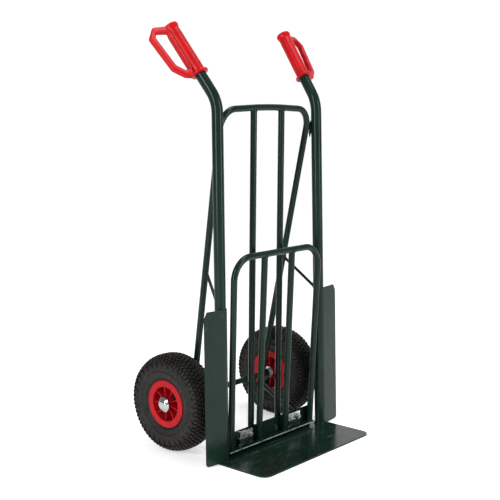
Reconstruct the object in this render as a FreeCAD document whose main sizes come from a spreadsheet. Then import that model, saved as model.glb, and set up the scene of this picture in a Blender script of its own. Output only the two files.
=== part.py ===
import FreeCAD, Part
import math
import os
import Sketcher
from FreeCAD import Placement, Rotation, Vector

# Tubular steel hand truck with two pneumatic wheels and a fold-down load frame.
# It stands on the floor with its front towards -Y and its height along +Z.
# The origin is on the floor under the toe plate, midway between the uprights.
# All sizes are in millimetres and degrees.

SIZES = [
    # toe plate: one steel sheet with its back edge folded up
    ("toe_half_width", 225.0, "middle to side edge of the toe plate"),
    ("toe_front", 178.0, "front edge of the toe plate, ahead of the origin"),
    ("toe_sheet", 4.0, "sheet thickness"),
    ("toe_corner", 25.0, "rounding of the two front corners"),
    ("upstand_back", 7.6, "back face of the folded-up edge, behind the origin"),
    ("upstand_half_width", 186.0, "half length of the folded-up edge"),
    ("upstand_top", 57.0, "height of the folded-up edge"),
    ("upstand_bend", 4.0, "inside radius of the fold"),
    # uprights: round tubes bent back at the top into handles
    ("upright_tube", 29.0, "outside diameter"),
    ("upright_wall", 2.0, "wall"),
    ("upright_foot_x", 205.4, "middle to the foot of an upright"),
    ("upright_foot_y", -17.2, "foot of an upright"),
    ("upright_straight", 909.0, "foot to the corner of the handle bend"),
    ("upright_lean", 1.02, "lean back from vertical"),
    ("upright_taper", 0.45, "lean inwards from vertical"),
    ("handle_bend", 35.8, "turn of the handle bend"),
    ("handle_splay", 10.5, "turn of the bend's plane outwards"),
    ("handle_bend_radius", 90.0, "centreline radius of the bend"),
    ("handle_length", 226.0, "corner of the bend to the tube's top end"),
    ("weld_gap", 0.3, "gap that a weld fills"),
    # back hoop: one tube, across the top and down to the axle on both sides
    ("rod_tube", 17.2, "outside diameter of the hoop and bar tubes"),
    ("rod_wall", 1.5, "wall of the hoop and bar tubes"),
    ("hoop_stand_back", 5.0, "hoop's top bar behind the uprights' centres"),
    ("hoop_below_bend", 11.2, "hoop's top bar below the length of the uprights' straight part"),
    ("hoop_tuck", 1.34, "square corner of the hoop past an upright's inner side"),
    ("hoop_y", "=upright_foot_y + upright_straight * tan(upright_lean) + hoop_stand_back",
     "centre of the hoop's top bar"),
    ("hoop_top", "=upright_straight - hoop_below_bend", "centre height of the hoop's top bar"),
    ("hoop_half_width", "=upright_foot_x - upright_straight * tan(upright_taper)"
     " - upright_tube / 2 - rod_tube / 2 + hoop_tuck", "middle to the hoop's upper corner"),
    ("hoop_crown", 6.0, "fall of the top bar from its middle to its corners"),
    ("hoop_crown_corner", 36.0, "middle to where the top bar starts to fall"),
    ("hoop_crown_radius", 1500.0, "radius of the bend there"),
    ("hoop_corner_radius", 50.0, "centreline radius of the corners"),
    ("hoop_foot_x", 142.5, "middle to the foot of a hoop leg"),
    # straight bars of the back
    ("bar_foot_x", 56.0, "middle to a bar's foot"),
    ("bar_top_x", 55.6, "middle to a bar's top"),
    ("bar_foot_z", 8.0, "lower end of a bar"),
    ("bar_stand_off", 1.1, "gap from the toe plate's upstand to a bar's foot"),
    # struts between hoop legs and uprights
    ("strut_rod", 8.0, "diameter"),
    ("strut_high", 482.0, "height where it meets the hoop leg"),
    ("strut_low", 388.0, "height where it meets the upright"),
    ("strut_notch_reach", 60.0, "length of tube, each way, that its ends are shaped to"),
    # axle
    ("axle_rod", 16.0, "diameter"),
    ("tyre_front", 17.0, "front of the tyres behind the origin"),
    ("axle_y", "=wheel_diameter / 2 + tyre_front", "axle behind the origin"),
    ("axle_in_cap", 4.0, "length of the axle inside a hub cap"),
    ("axle_end", "=wheel_x + hub_length / 2 + side_gap + washer_sheet + axle_in_cap",
     "middle to the axle's end"),
    ("lug_sheet", 5.0, "thickness of the plate under the axle"),
    ("lug_depth", 27.0, "front to back"),
    ("lug_above", 4.0, "plate above the top of the axle"),
    ("lug_corner", 6.0, "rounding of the plate's corners"),
    ("lug_gap", 1.3, "gap from the hoop leg to the plate"),
    ("lug_drop", 42.0, "how far it hangs below the axle's centre"),
    ("stay_foot_x", 150.0, "middle to the stay's foot"),
    ("stay_foot_z", 22.0, "height of the stay's foot"),
    ("stay_drop", 26.0, "stay's centre below the axle's centre at the plate"),
    # guards
    ("guard_sheet", 2.0, "sheet thickness"),
    ("guard_top", 398.0, "top edge"),
    ("guard_flare", 7.0, "turn of the flat wing backwards"),
    ("guard_reach", 67.5, "upright's centre to the wing's outer edge"),
    ("guard_chamfer_high", 17.0, "top outer corner, height of the cut"),
    ("guard_chamfer_wide", 10.0, "top outer corner, width of the cut"),
    ("guard_corner", 9.0, "rounding of the bottom outer corner"),
    ("guard_inner_edge", 2.0, "inner edge behind the upright's centre"),
    # wheels
    ("wheel_diameter", 260.0, "tyre's outside diameter"),
    ("wheel_x", 212.0, "middle of the truck to the middle of a wheel"),
    ("tyre_width", 85.0, "tyre's width"),
    ("tyre_wall", 7.0, "side wall"),
    ("tyre_tread", 9.0, "rubber under the tread"),
    ("tyre_bead", 7.5, "width of a bead"),
    ("tyre_over_rim", 3.0, "where the side wall leaves the rim, outside its flange"),
    ("tyre_bulge_rise", 12.0, "lower corner of the side wall above that"),
    ("tyre_bulge_round", 10.0, "rounding of that corner"),
    ("tyre_shoulder_drop", 18.0, "upper corner of the side wall below the tread"),
    ("tyre_shoulder_round", 12.0, "rounding of that corner"),
    ("tyre_tread_inset", 13.0, "edge of the tread in from the side wall"),
    ("tyre_tread_round", 8.0, "rounding of the tread's edge"),
    ("rim_diameter", 125.6, "rim's outside diameter"),
    ("rim_width", 70.0, "rim's width"),
    ("rim_flange", 4.0, "thickness of the rim's flanges"),
    ("rim_seat", 50.0, "radius of the seat that the tyre sits on"),
    ("rim_seat_wall", 4.0, "wall of the seat"),
    ("rim_web", 5.0, "thickness of the rim's disc"),
    ("rim_rib", 2.5, "thickness of a rib"),
    ("rim_rib_width", 58.0, "width of the ribs along the axle"),
    ("rim_ribs", 9.0, "ribs round the rim"),
    ("rim_rib_turn", 27.0, "first rib from the top"),
    ("rim_rib_sunk", 1.0, "how far a rib's ends reach into the hub and the seat"),
    ("hub_length", 75.0, "hub's length"),
    ("hub_outside", 34.0, "hub's outside diameter"),
    ("roller_rod", 4.0, "diameter of a bearing roller"),
    ("roller_length", 56.0, "length of a bearing roller"),
    ("roller_count", 8.0, "rollers in a bearing"),
    ("running_gap", 0.075, "radial gap where rollers or pins turn"),
    ("cage_length", 70.0, "length of the roller cage"),
    ("cage_inset", 1.0, "cage in from the axle and from the hub's bore"),
    ("tube_wall", 1.8, "wall of the inner tube"),
    ("seat_gap", 0.3, "gap between tyre, tube and rim"),
    ("valve_rod", 8.0, "diameter of the valve stem"),
    ("valve_offset", 14.0, "valve stem from the middle of the wheel"),
    ("valve_length", 22.0, "length of the valve stem"),
    ("valve_cap_rod", 9.6, "diameter of the valve cap"),
    ("valve_cap_length", 8.0, "length of the valve cap"),
    ("washer_sheet", 2.0, "thickness of an axle washer"),
    ("washer_outside", 34.0, "diameter of an axle washer"),
    ("side_gap", 0.5, "play along the axle at each side of a hub"),
    ("collar_outside", 24.0, "diameter of the spacer collar"),
    ("cap_diameter", 40.0, "diameter of the hub cap"),
    ("cap_depth", 9.0, "depth of the hub cap's dome"),
    ("cap_rim", 1.5, "straight part of the hub cap's edge"),
    ("cap_crown", 10.0, "radius where the dome flattens"),
    ("cap_round", 13.3, "rounding of the dome"),
    # grips
    ("grip_length", 149.0, "length of a grip"),
    ("grip_wall", 2.75, "wall of the sleeve"),
    ("grip_flange_wall", 8.5, "handle tube to the edge of the lower flange"),
    ("grip_cap_wall", 5.5, "handle tube to the edge of the closed top"),
    ("grip_sleeve", "=upright_tube + 2 * grip_wall", "diameter of the sleeve"),
    ("grip_flange", "=upright_tube + 2 * grip_flange_wall", "diameter of the lower flange"),
    ("grip_flange_width", 4.5, "width of the lower flange"),
    ("grip_cap", "=upright_tube + 2 * grip_cap_wall", "diameter of the closed top"),
    ("grip_cap_width", 13.0, "length of the closed top"),
    ("grip_end_wall", 5.0, "thickness of the closed top"),
    ("grip_flange_round", 2.0, "rounding of the flange"),
    ("grip_sleeve_round", 1.0, "rounding between flange and sleeve"),
    ("grip_cap_round", 3.0, "rounding of the closed top"),
    ("loop_bar", 15.0, "hand guard across its bar"),
    ("loop_tilt_left", 16.0, "left hand guard's turn backwards"),
    ("loop_tilt_right", 8.0, "right hand guard's turn backwards, as it was pushed on"),
    ("loop_over", 5.0, "hand guard's top edge above the closed top"),
    ("loop_top_reach", 54.0, "outer end of its top edge, out from the sleeve's centre"),
    ("loop_top_round", 8.0, "rounding of that corner"),
    ("loop_high_reach", 78.0, "its furthest corner, out from the sleeve's centre"),
    ("loop_high_drop", 21.0, "that corner below the grip's top"),
    ("loop_high_round", 10.0, "rounding of that corner"),
    ("loop_low_reach", 67.5, "lower end of its long side, out"),
    ("loop_low_rise", 30.0, "that corner above the grip's foot"),
    ("loop_low_round", 14.0, "rounding of the two corners under the fingers"),
    ("loop_foot_reach", 44.0, "corner under the little finger, out"),
    ("loop_foot_rise", 3.5, "that corner above the grip's foot"),
    ("loop_under_reach", 27.0, "lowest corner, out"),
    ("loop_under", 3.0, "lowest corner below the grip's foot"),
    ("loop_under_round", 8.0, "rounding of that corner"),
    ("gap_sleeve_side", 21.0, "finger gap's edge beside the sleeve, out"),
    ("gap_foot", 19.0, "finger gap's foot above the grip's foot"),
    ("gap_foot_reach", 36.0, "outer end of the finger gap's foot"),
    ("gap_foot_rise", 1.0, "rise of the finger gap's foot"),
    ("gap_low_reach", 52.0, "lower end of the finger gap's long side, out"),
    ("gap_low_rise", 39.0, "that corner above the grip's foot"),
    ("gap_high_reach", 61.0, "upper end of the finger gap's long side, out"),
    ("gap_high_drop", 25.0, "that corner below the grip's top"),
    ("gap_top_reach", 52.0, "outer end of the finger gap's top, out"),
    ("gap_top_drop", 12.0, "that corner below the grip's top"),
    ("gap_inner_drop", 19.0, "finger gap's top beside the sleeve, below the grip's top"),
    ("gap_round", 3.0, "rounding of the finger gap's corners"),
    # fold-down frame
    ("fold_foot_y", -9.6, "foot of the fold-down frame's plane"),
    ("fold_lean", 2.56, "lean forwards when it is stowed"),
    ("fold_height", 522.7, "centre of its top bar above the foot line"),
    ("fold_half_width_top", 173.3, "middle to its upper corner"),
    ("fold_half_width_foot", 164.9, "middle to a leg's foot"),
    ("fold_corner_radius", 58.0, "centreline radius of its corners"),
    ("fold_bar_foot_x", 54.6, "middle to the foot of an inner bar"),
    ("fold_bar_top_x", 55.9, "middle to the top of an inner bar"),
    ("fold_rail_low", 15.0, "lower face of the rail"),
    ("fold_rail_sheet", 3.0, "thickness of the rail"),
    ("fold_rail_front", 9.5, "rail's front edge ahead of the tubes' centres"),
    ("fold_rail_half", 178.0, "half length of the rail"),
    ("fold_rest_gap", 1.25, "gap to the toe plate when it is folded down"),
    ("rail_relief", 3.0, "gap beside a hinge in the rail's back edge"),
    ("rail_notch_near", 5.0, "notch in the rail's front edge, from the hinge"),
    ("rail_notch_far", 9.0, "far side of that notch, from the hinge"),
    ("rail_notch_end", 3.0, "bottom of that notch ahead of the tubes' centres"),
    # hinges of the fold-down frame
    ("hinge_x", 101.2, "middle to a hinge"),
    ("hinge_half_width", 25.0, "half width of a hinge"),
    ("hinge_y", -5.0, "hinge pin ahead of the origin"),
    ("hinge_barrel", 9.0, "diameter of the hinge barrel"),
    ("hinge_pin_rod", 5.0, "diameter of the hinge pin"),
    ("hinge_sheet", 2.5, "sheet of the hinge"),
    ("hinge_knuckle", 8.5, "half length of the moving knuckle"),
    ("hinge_play", 0.6, "gap between knuckles"),
    ("hinge_leaf_depth", 13.5, "moving leaf from the pin to its front edge"),
    ("hinge_web_ahead", 2.0, "bracket's face ahead of the pin's centre"),
    ("hinge_pin_end", 2.0, "pin beyond the bracket at each end"),
    ("hinge_pin_head", 1.5, "thickness of the pin's head"),
    ("hinge_pin_head_rod", 7.5, "diameter of the pin's head"),
    ("bolt_rod", 8.0, "diameter of the hinge bolt"),
    ("bolt_hole_gap", 0.3, "radial gap round the bolt"),
    ("bolt_x", 13.0, "bolt to the right of the hinge's middle"),
    ("bolt_z", 44.0, "height of the bolt"),
    ("nut_flats", 13.0, "nut and bolt head across their flats"),
    ("nut_thick", 6.5, "nut thickness"),
    ("bolt_head_thick", 5.3, "bolt head thickness"),
    ("bolt_show", 3.0, "bolt's end beyond its nut"),
]

doc = FreeCAD.newDocument("hand_truck")
sheet = doc.addObject("Spreadsheet::Sheet", "Sizes")
for row, (word, number, note) in enumerate(SIZES, start=1):
    sheet.set(f"A{row}", word)
    sheet.setAlias(f"B{row}", word)
    sheet.set(f"C{row}", note)
for row, (word, number, note) in enumerate(SIZES, start=1):
    sheet.set(f"B{row}", str(number))
doc.recompute()

SIDES = {"left": -1, "right": 1}
nodes = {}


def size(expression):
    """Number that an expression of the sheet's sizes stands for."""
    return float(sheet.evalExpression(str(expression)))


def keep(node, piece):
    """Name a finished piece and list it for writing."""
    piece.Label = node
    nodes[node] = piece
    return piece


# ---------------------------------------------------------------- sketching


def origin_plane(body, role):
    return next(item for item in body.Origin.OriginFeatures if item.Role == role)


def sketch_on(body, role):
    sketch = body.newObject("Sketcher::SketchObject", "Sketch")
    sketch.AttachmentSupport = [(origin_plane(body, role), "")]
    sketch.MapMode = "FlatFace"
    return sketch


def pin_point(sketch, element, end, across, along):
    """Hold one point of a sketch at two expressions of the sheet."""
    for kind, axis, expression in (("DistanceX", -2, across), ("DistanceY", -1, along)):
        if expression == 0:
            sketch.addConstraint(Sketcher.Constraint("PointOnObject", element, end, axis))
            continue
        number = size(expression)
        index = sketch.addConstraint(Sketcher.Constraint(kind, -1, 1, element, end, number))
        sketch.setExpression(f"Constraints[{index}]", str(expression))


def draw_line_work(sketch, corners, closed=True):
    """Straight lines through corners (across, along), rounded where a radius is given."""
    places = [Vector(size(corner[0]), size(corner[1]), 0) for corner in corners]
    radii = [corner[2] if len(corner) > 2 else None for corner in corners]
    count = len(places)
    arrive, leave = list(places), list(places)
    for i, radius in enumerate(radii):
        if radius is None:
            continue
        back = (places[i - 1] - places[i]).normalize()
        ahead = (places[(i + 1) % count] - places[i]).normalize()
        trim = size(radius) / math.tan(back.getAngle(ahead) / 2)
        arrive[i] = places[i] + back * trim
        leave[i] = places[i] + ahead * trim
    lines = []
    for i in range(count if closed else count - 1):
        line = Part.LineSegment(leave[i], arrive[(i + 1) % count])
        lines.append(sketch.addGeometry(line))
    for i, radius in enumerate(radii):
        before = lines[i - 1] if closed or i > 0 else None
        after = lines[i] if i < len(lines) else None
        if before is None:
            pin_point(sketch, after, 1, *corners[i][:2])
        elif after is None:
            pin_point(sketch, before, 2, *corners[i][:2])
        elif radius is None:
            sketch.addConstraint(Sketcher.Constraint("Coincident", before, 2, after, 1))
            pin_point(sketch, after, 1, *corners[i][:2])
        else:
            round_corner(sketch, before, after, places[i], arrive[i], leave[i], corners[i])


def round_corner(sketch, before, after, corner, start, stop, values):
    """Arc tangent to two lines, with the corner itself held as a point."""
    across, along, radius = values
    back = (start - corner).normalize()
    ahead = (stop - corner).normalize()
    half = back.getAngle(ahead) / 2
    middle = (back + ahead).normalize()
    centre = corner + middle * (size(radius) / math.sin(half))
    arc = sketch.addGeometry(Part.Arc(start, centre - middle * size(radius), stop))
    starts_first = sketch.getPoint(arc, 1).distanceToPoint(start) < 1e-4
    first, last = (1, 2) if starts_first else (2, 1)
    point = sketch.addGeometry(Part.Point(corner), True)
    sketch.addConstraint([
        Sketcher.Constraint("Tangent", before, 2, arc, first),
        Sketcher.Constraint("Tangent", arc, last, after, 1),
        Sketcher.Constraint("PointOnObject", point, 1, before),
        Sketcher.Constraint("PointOnObject", point, 1, after),
    ])
    index = sketch.addConstraint(Sketcher.Constraint("Radius", arc, size(radius)))
    sketch.setExpression(f"Constraints[{index}]", str(radius))
    pin_point(sketch, point, 1, across, along)


def draw_circle(sketch, radius, across=0, along=0):
    centre = Vector(size(across), size(along), 0)
    circle = sketch.addGeometry(Part.Circle(centre, Vector(0, 0, 1), size(radius)))
    index = sketch.addConstraint(Sketcher.Constraint("Radius", circle, size(radius)))
    sketch.setExpression(f"Constraints[{index}]", str(radius))
    if across == 0 and along == 0:
        sketch.addConstraint(Sketcher.Constraint("Coincident", circle, 3, -1, 1))
    else:
        pin_point(sketch, circle, 3, across, along)


def rough_body():
    """Body that later cuts finish, so that it has no name of its own."""
    return doc.addObject("PartDesign::Body", "Body")


def new_body(node):
    return keep(node, rough_body())


def pad(body, sketch, length, both_ways=True):
    feature = body.newObject("PartDesign::Pad", "Pad")
    feature.Profile = sketch
    feature.SideType = "Symmetric" if both_ways else "One side"
    feature.setExpression("Length", str(length))
    return feature


def pocket(body, sketch, length):
    """Cut a sketch through a body, half each way, and see that it took something off."""
    before = body.Tip
    feature = body.newObject("PartDesign::Pocket", "Pocket")
    feature.Profile = sketch
    feature.SideType = "Symmetric"
    feature.setExpression("Length", str(length))
    doc.recompute()
    if feature.Shape.Volume >= before.Shape.Volume:
        raise RuntimeError(f"a pocket of {body.Label} cuts nothing")
    return feature


def turn(body, sketch, axis="H_Axis"):
    feature = body.newObject("PartDesign::Revolution", "Revolution")
    feature.Profile = sketch
    feature.ReferenceAxis = (sketch, [axis])
    feature.Angle = 360
    return feature


def pipe(body, profile, path):
    feature = body.newObject("PartDesign::AdditivePipe", "Pipe")
    feature.Profile = profile
    feature.Spine = path
    return feature


def mirror_across_middle(body, feature):
    copy = body.newObject("PartDesign::Mirrored", "Mirrored")
    copy.Originals = [feature]
    copy.MirrorPlane = (origin_plane(body, "YZ_Plane"), [""])
    body.Tip = copy


def place(piece, across, depth, height, turned=None):
    """Put a piece at three expressions of the sheet, with an optional Rotation."""
    if turned is not None:
        piece.Placement = Placement(Vector(), turned)
    for axis, expression in (("x", across), ("y", depth), ("z", height)):
        piece.setExpression(f"Placement.Base.{axis}", str(expression))


def tube_section(sketch, diameter, wall):
    draw_circle(sketch, f"{diameter} / 2")
    draw_circle(sketch, f"{diameter} / 2 - {wall}")


# ------------------------------------------------- solids made of primitives


def cylinder(radius, length, foot, direction):
    """Round bar from a point along a direction."""
    piece = doc.addObject("Part::Cylinder", "Cylinder")
    piece.setExpression("Radius", str(radius))
    piece.setExpression("Height", str(length))
    piece.Placement = Placement(foot, Rotation(Vector(0, 0, 1), direction))
    return piece


def box(low, high):
    """Box between two corners, each three expressions of the sheet."""
    piece = doc.addObject("Part::Box", "Box")
    for side, axis, start, stop in zip(("Length", "Width", "Height"), "xyz", low, high):
        piece.setExpression(side, f"({stop}) - ({start})")
        piece.setExpression(f"Placement.Base.{axis}", str(start))
    return piece


def cut(piece, *tools):
    for tool in tools:
        result = doc.addObject("Part::Cut", "Cut")
        result.Base = piece
        result.Tool = tool
        piece = result
    return piece


def fuse(*pieces):
    result = doc.addObject("Part::MultiFuse", "Fusion")
    result.Shapes = list(pieces)
    return result


def group(*pieces):
    result = doc.addObject("Part::Compound", "Group")
    result.Links = list(pieces)
    return result


def straight_tube(start, stop, diameter, wall=None):
    """Tube, or solid rod when there is no wall, between two points."""
    run = stop - start
    outside = cylinder(f"{diameter} / 2", run.Length, start, run)
    if wall is None:
        return outside
    return cut(outside, cylinder(f"{diameter} / 2 - {wall}", run.Length, start, run))


SIDEWAYS = Vector(1, 0, 0)
FORWARD = Vector(0, -1, 0)
BACKWARD = Vector(0, 1, 0)


# ------------------------------------------------------------- toe plate

# One 4 mm sheet lies on the floor. Its back edge is folded up between the guards.
toe_plate = new_body("toe_plate")
flat = sketch_on(toe_plate, "XY_Plane")
fold_line = "Sizes.upstand_back - Sizes.toe_sheet - Sizes.upstand_bend"
draw_line_work(flat, [
    ("-Sizes.toe_half_width", fold_line),
    ("-Sizes.toe_half_width", "-Sizes.toe_front", "Sizes.toe_corner"),
    ("Sizes.toe_half_width", "-Sizes.toe_front", "Sizes.toe_corner"),
    ("Sizes.toe_half_width", fold_line),
])
pad(toe_plate, flat, "Sizes.toe_sheet", both_ways=False)
upstand = sketch_on(toe_plate, "YZ_Plane")
draw_line_work(upstand, [
    (f"{fold_line} - Sizes.toe_sheet", 0),
    ("Sizes.upstand_back", 0, "Sizes.upstand_bend + Sizes.toe_sheet"),
    ("Sizes.upstand_back", "Sizes.upstand_top"),
    ("Sizes.upstand_back - Sizes.toe_sheet", "Sizes.upstand_top"),
    ("Sizes.upstand_back - Sizes.toe_sheet", "Sizes.toe_sheet", "Sizes.upstand_bend"),
    (f"{fold_line} - Sizes.toe_sheet", "Sizes.toe_sheet"),
])
pad(toe_plate, upstand, "2 * Sizes.upstand_half_width")
bolt_holes = sketch_on(toe_plate, "XZ_Plane")
for side in SIDES.values():
    draw_circle(bolt_holes, "Sizes.bolt_rod / 2 + Sizes.bolt_hole_gap",
                f"{side} * Sizes.hinge_x + Sizes.bolt_x", "Sizes.bolt_z")
pocket(toe_plate, bolt_holes, "4 * Sizes.upstand_back")


# ------------------------------------------------- uprights with their handles


def upright_direction(side):
    lean = math.tan(math.radians(size("Sizes.upright_lean")))
    taper = math.tan(math.radians(size("Sizes.upright_taper")))
    return Vector(-side * taper, lean, 1).normalize()


def upright_foot(side):
    # the square end of a leaning tube dips below its centre
    dip = size("Sizes.upright_tube / 2"
               " * sqrt(tan(Sizes.upright_lean) ^ 2 + tan(Sizes.upright_taper) ^ 2)")
    height = size("Sizes.toe_sheet + Sizes.weld_gap") + dip
    return Vector(side * size("Sizes.upright_foot_x"), size("Sizes.upright_foot_y"), height)


def on_upright(side, height):
    """Point of an upright's centreline at a height."""
    direction = upright_direction(side)
    foot = upright_foot(side)
    return foot + direction * ((height - foot.z) / direction.z)


def upright_turn(side):
    """Rotation whose Z runs up the upright and whose X points where the handle bends."""
    up = upright_direction(side)
    splay = math.radians(size("Sizes.handle_splay"))
    bend = Vector(side * math.sin(splay), math.cos(splay), 0)
    bend = (bend - up * bend.dot(up)).normalize()
    return Rotation(bend, up.cross(bend), up, "ZXY")


for name, side in SIDES.items():
    upright = new_body(f"upright_{name}")
    path = sketch_on(upright, "XZ_Plane")
    draw_line_work(path, [
        (0, 0),
        (0, "Sizes.upright_straight", "Sizes.handle_bend_radius"),
        ("Sizes.handle_length * sin(Sizes.handle_bend)",
         "Sizes.upright_straight + Sizes.handle_length * cos(Sizes.handle_bend)"),
    ], closed=False)
    section = sketch_on(upright, "XY_Plane")
    tube_section(section, "Sizes.upright_tube", "Sizes.upright_wall")
    pipe(upright, section, path)
    upright.Placement = Placement(upright_foot(side), upright_turn(side))


# ---------------------------------------------------------------- back hoop

AXLE_HEIGHT = "Sizes.wheel_diameter / 2"
# The hoop lies in one plane, which falls back from the top bar to the axle.
hoop_drop = size(f"Sizes.hoop_top - {AXLE_HEIGHT}")
hoop_back = size("Sizes.axle_y - Sizes.hoop_y")
hoop_tilt = math.degrees(math.atan2(hoop_back, hoop_drop))
hoop_leg_end = math.hypot(hoop_drop, hoop_back)
weld_reach = "(Sizes.axle_rod / 2 + Sizes.weld_gap)"

back_hoop = rough_body()
path = sketch_on(back_hoop, "XZ_Plane")
draw_line_work(path, [
    (0, 0),
    ("Sizes.hoop_crown_corner", 0, "Sizes.hoop_crown_radius"),
    ("Sizes.hoop_half_width", "-Sizes.hoop_crown", "Sizes.hoop_corner_radius"),
    ("Sizes.hoop_foot_x", str(-hoop_leg_end)),
], closed=False)
section = sketch_on(back_hoop, "YZ_Plane")
tube_section(section, "Sizes.rod_tube", "Sizes.rod_wall")
half_hoop = pipe(back_hoop, section, path)
mirror_across_middle(back_hoop, half_hoop)
place(back_hoop, 0, "Sizes.hoop_y", "Sizes.hoop_top", Rotation(SIDEWAYS, hoop_tilt))


def on_hoop_leg(side, height):
    """Point of a hoop leg's centreline at a height."""
    share = (size("Sizes.hoop_top") - height) / hoop_drop
    corner_share = size("Sizes.hoop_crown") / hoop_leg_end
    along = (share - corner_share) / (1 - corner_share)
    corner_x, foot_x = size("Sizes.hoop_half_width"), size("Sizes.hoop_foot_x")
    depth = size("Sizes.hoop_y") + share * hoop_back
    return Vector(side * (corner_x + along * (foot_x - corner_x)), depth, height)


# The legs end on top of the axle, shaped to its round.
axle_half_length = size("Sizes.axle_end")
axle_start = Vector(-axle_half_length, size("Sizes.axle_y"), size(AXLE_HEIGHT))
axle_notch = cylinder(weld_reach, "2 * Sizes.axle_end", axle_start, SIDEWAYS)
keep("back_hoop", cut(back_hoop, axle_notch))


# ------------------------------------------------------ straight bars of the back

hoop_top_notch = "Sizes.rod_tube / 2 + Sizes.weld_gap"
# fall of the hoop's crown at the outer edge of a bar
outer_edge = "(Sizes.bar_top_x + Sizes.rod_tube / 2 - Sizes.hoop_crown_corner)"
crown_run = "(Sizes.hoop_half_width - Sizes.hoop_crown_corner)"
bar_fall = size(f"Sizes.hoop_crown * {outer_edge} / {crown_run}")
for name, side in SIDES.items():
    bar_y = size("Sizes.upstand_back + Sizes.rod_tube / 2 + Sizes.bar_stand_off")
    foot = Vector(side * size("Sizes.bar_foot_x"), bar_y, size("Sizes.bar_foot_z"))
    top = Vector(side * size("Sizes.bar_top_x"), size("Sizes.hoop_y"), size("Sizes.hoop_top"))
    bar = straight_tube(foot, top, "Sizes.rod_tube", "Sizes.rod_wall")
    notch_start = top - Vector(size("Sizes.rod_tube"), 0, bar_fall)
    notch = cylinder(hoop_top_notch, "2 * Sizes.rod_tube", notch_start, SIDEWAYS)
    keep(f"back_bar_{name}", cut(bar, notch))


# ---------------------------------------------------------------- struts

for name, side in SIDES.items():
    high = on_hoop_leg(side, size("Sizes.strut_high"))
    low = on_upright(side, size("Sizes.strut_low"))
    strut = straight_tube(low, high, "Sizes.strut_rod")
    leg_below = on_hoop_leg(side, size("Sizes.strut_high - Sizes.strut_notch_reach"))
    leg_run = on_hoop_leg(side, size("Sizes.strut_high + Sizes.strut_notch_reach")) - leg_below
    leg_notch = cylinder(hoop_top_notch, leg_run.Length, leg_below, leg_run)
    upright_below = on_upright(side, size("Sizes.strut_low - Sizes.strut_notch_reach"))
    upright_notch = cylinder("Sizes.upright_tube / 2 + Sizes.weld_gap",
                             "2 * Sizes.strut_notch_reach",
                             upright_below, upright_direction(side))
    keep(f"strut_{name}", cut(strut, leg_notch, upright_notch))


# ------------------------------------------------- axle, its plates and stays

axle = cylinder("Sizes.axle_rod / 2", "2 * Sizes.axle_end", axle_start, SIDEWAYS)
keep("axle", axle)

for name, side in SIDES.items():
    # a flat plate is threaded on the axle under each hoop leg
    lug = new_body(f"axle_plate_{name}")
    outline = sketch_on(lug, "YZ_Plane")
    lug_top = "Sizes.axle_rod / 2 + Sizes.lug_above"
    draw_line_work(outline, [
        ("-Sizes.lug_depth / 2", lug_top, "Sizes.lug_corner"),
        ("-Sizes.lug_depth / 2", "-Sizes.lug_drop", "Sizes.lug_corner"),
        ("Sizes.lug_depth / 2", "-Sizes.lug_drop", "Sizes.lug_corner"),
        ("Sizes.lug_depth / 2", lug_top, "Sizes.lug_corner"),
    ])
    draw_circle(outline, weld_reach)
    pad(lug, outline, "Sizes.lug_sheet")
    outward = "(Sizes.rod_tube / 2 + Sizes.lug_sheet / 2 + Sizes.lug_gap)"
    place(lug, f"{side} * (Sizes.hoop_foot_x + {outward})", "Sizes.axle_y", AXLE_HEIGHT)

    # a stay runs from the plate down to the back of the toe plate
    stay_top = Vector(side * size("Sizes.hoop_foot_x"), size("Sizes.axle_y"),
                      size(f"{AXLE_HEIGHT} - Sizes.stay_drop"))
    stay_foot = Vector(side * size("Sizes.stay_foot_x"), 0, size("Sizes.stay_foot_z"))
    stay = straight_tube(stay_foot, stay_top, "Sizes.rod_tube", "Sizes.rod_wall")
    behind = box(("-Sizes.toe_half_width", "-Sizes.toe_front", "-Sizes.toe_sheet"),
                 ("Sizes.toe_half_width", "Sizes.upstand_back + Sizes.weld_gap",
                  "Sizes.upstand_top"))
    plate_face = box(
        (f"{side} * (Sizes.hoop_foot_x + {outward}) - Sizes.lug_sheet / 2 - Sizes.weld_gap",
         "Sizes.axle_y - Sizes.lug_depth", f"{AXLE_HEIGHT} - 2 * Sizes.lug_drop"),
        (f"{side} * (Sizes.hoop_foot_x + {outward}) + Sizes.lug_sheet / 2 + Sizes.weld_gap",
         "Sizes.axle_y + Sizes.lug_depth", AXLE_HEIGHT))
    keep(f"axle_stay_{name}", cut(stay, behind, plate_face))


# ---------------------------------------------------------------- guards

inner = "(Sizes.upright_tube / 2 + Sizes.weld_gap)"
outer = "(Sizes.upright_tube / 2 + Sizes.weld_gap + Sizes.guard_sheet)"


def wing_line(radius, across):
    """Where the flat wing, tangent to a round about the upright, lies at a distance out."""
    return f"({across} * sin(Sizes.guard_flare) - {radius}) / cos(Sizes.guard_flare)"


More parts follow.
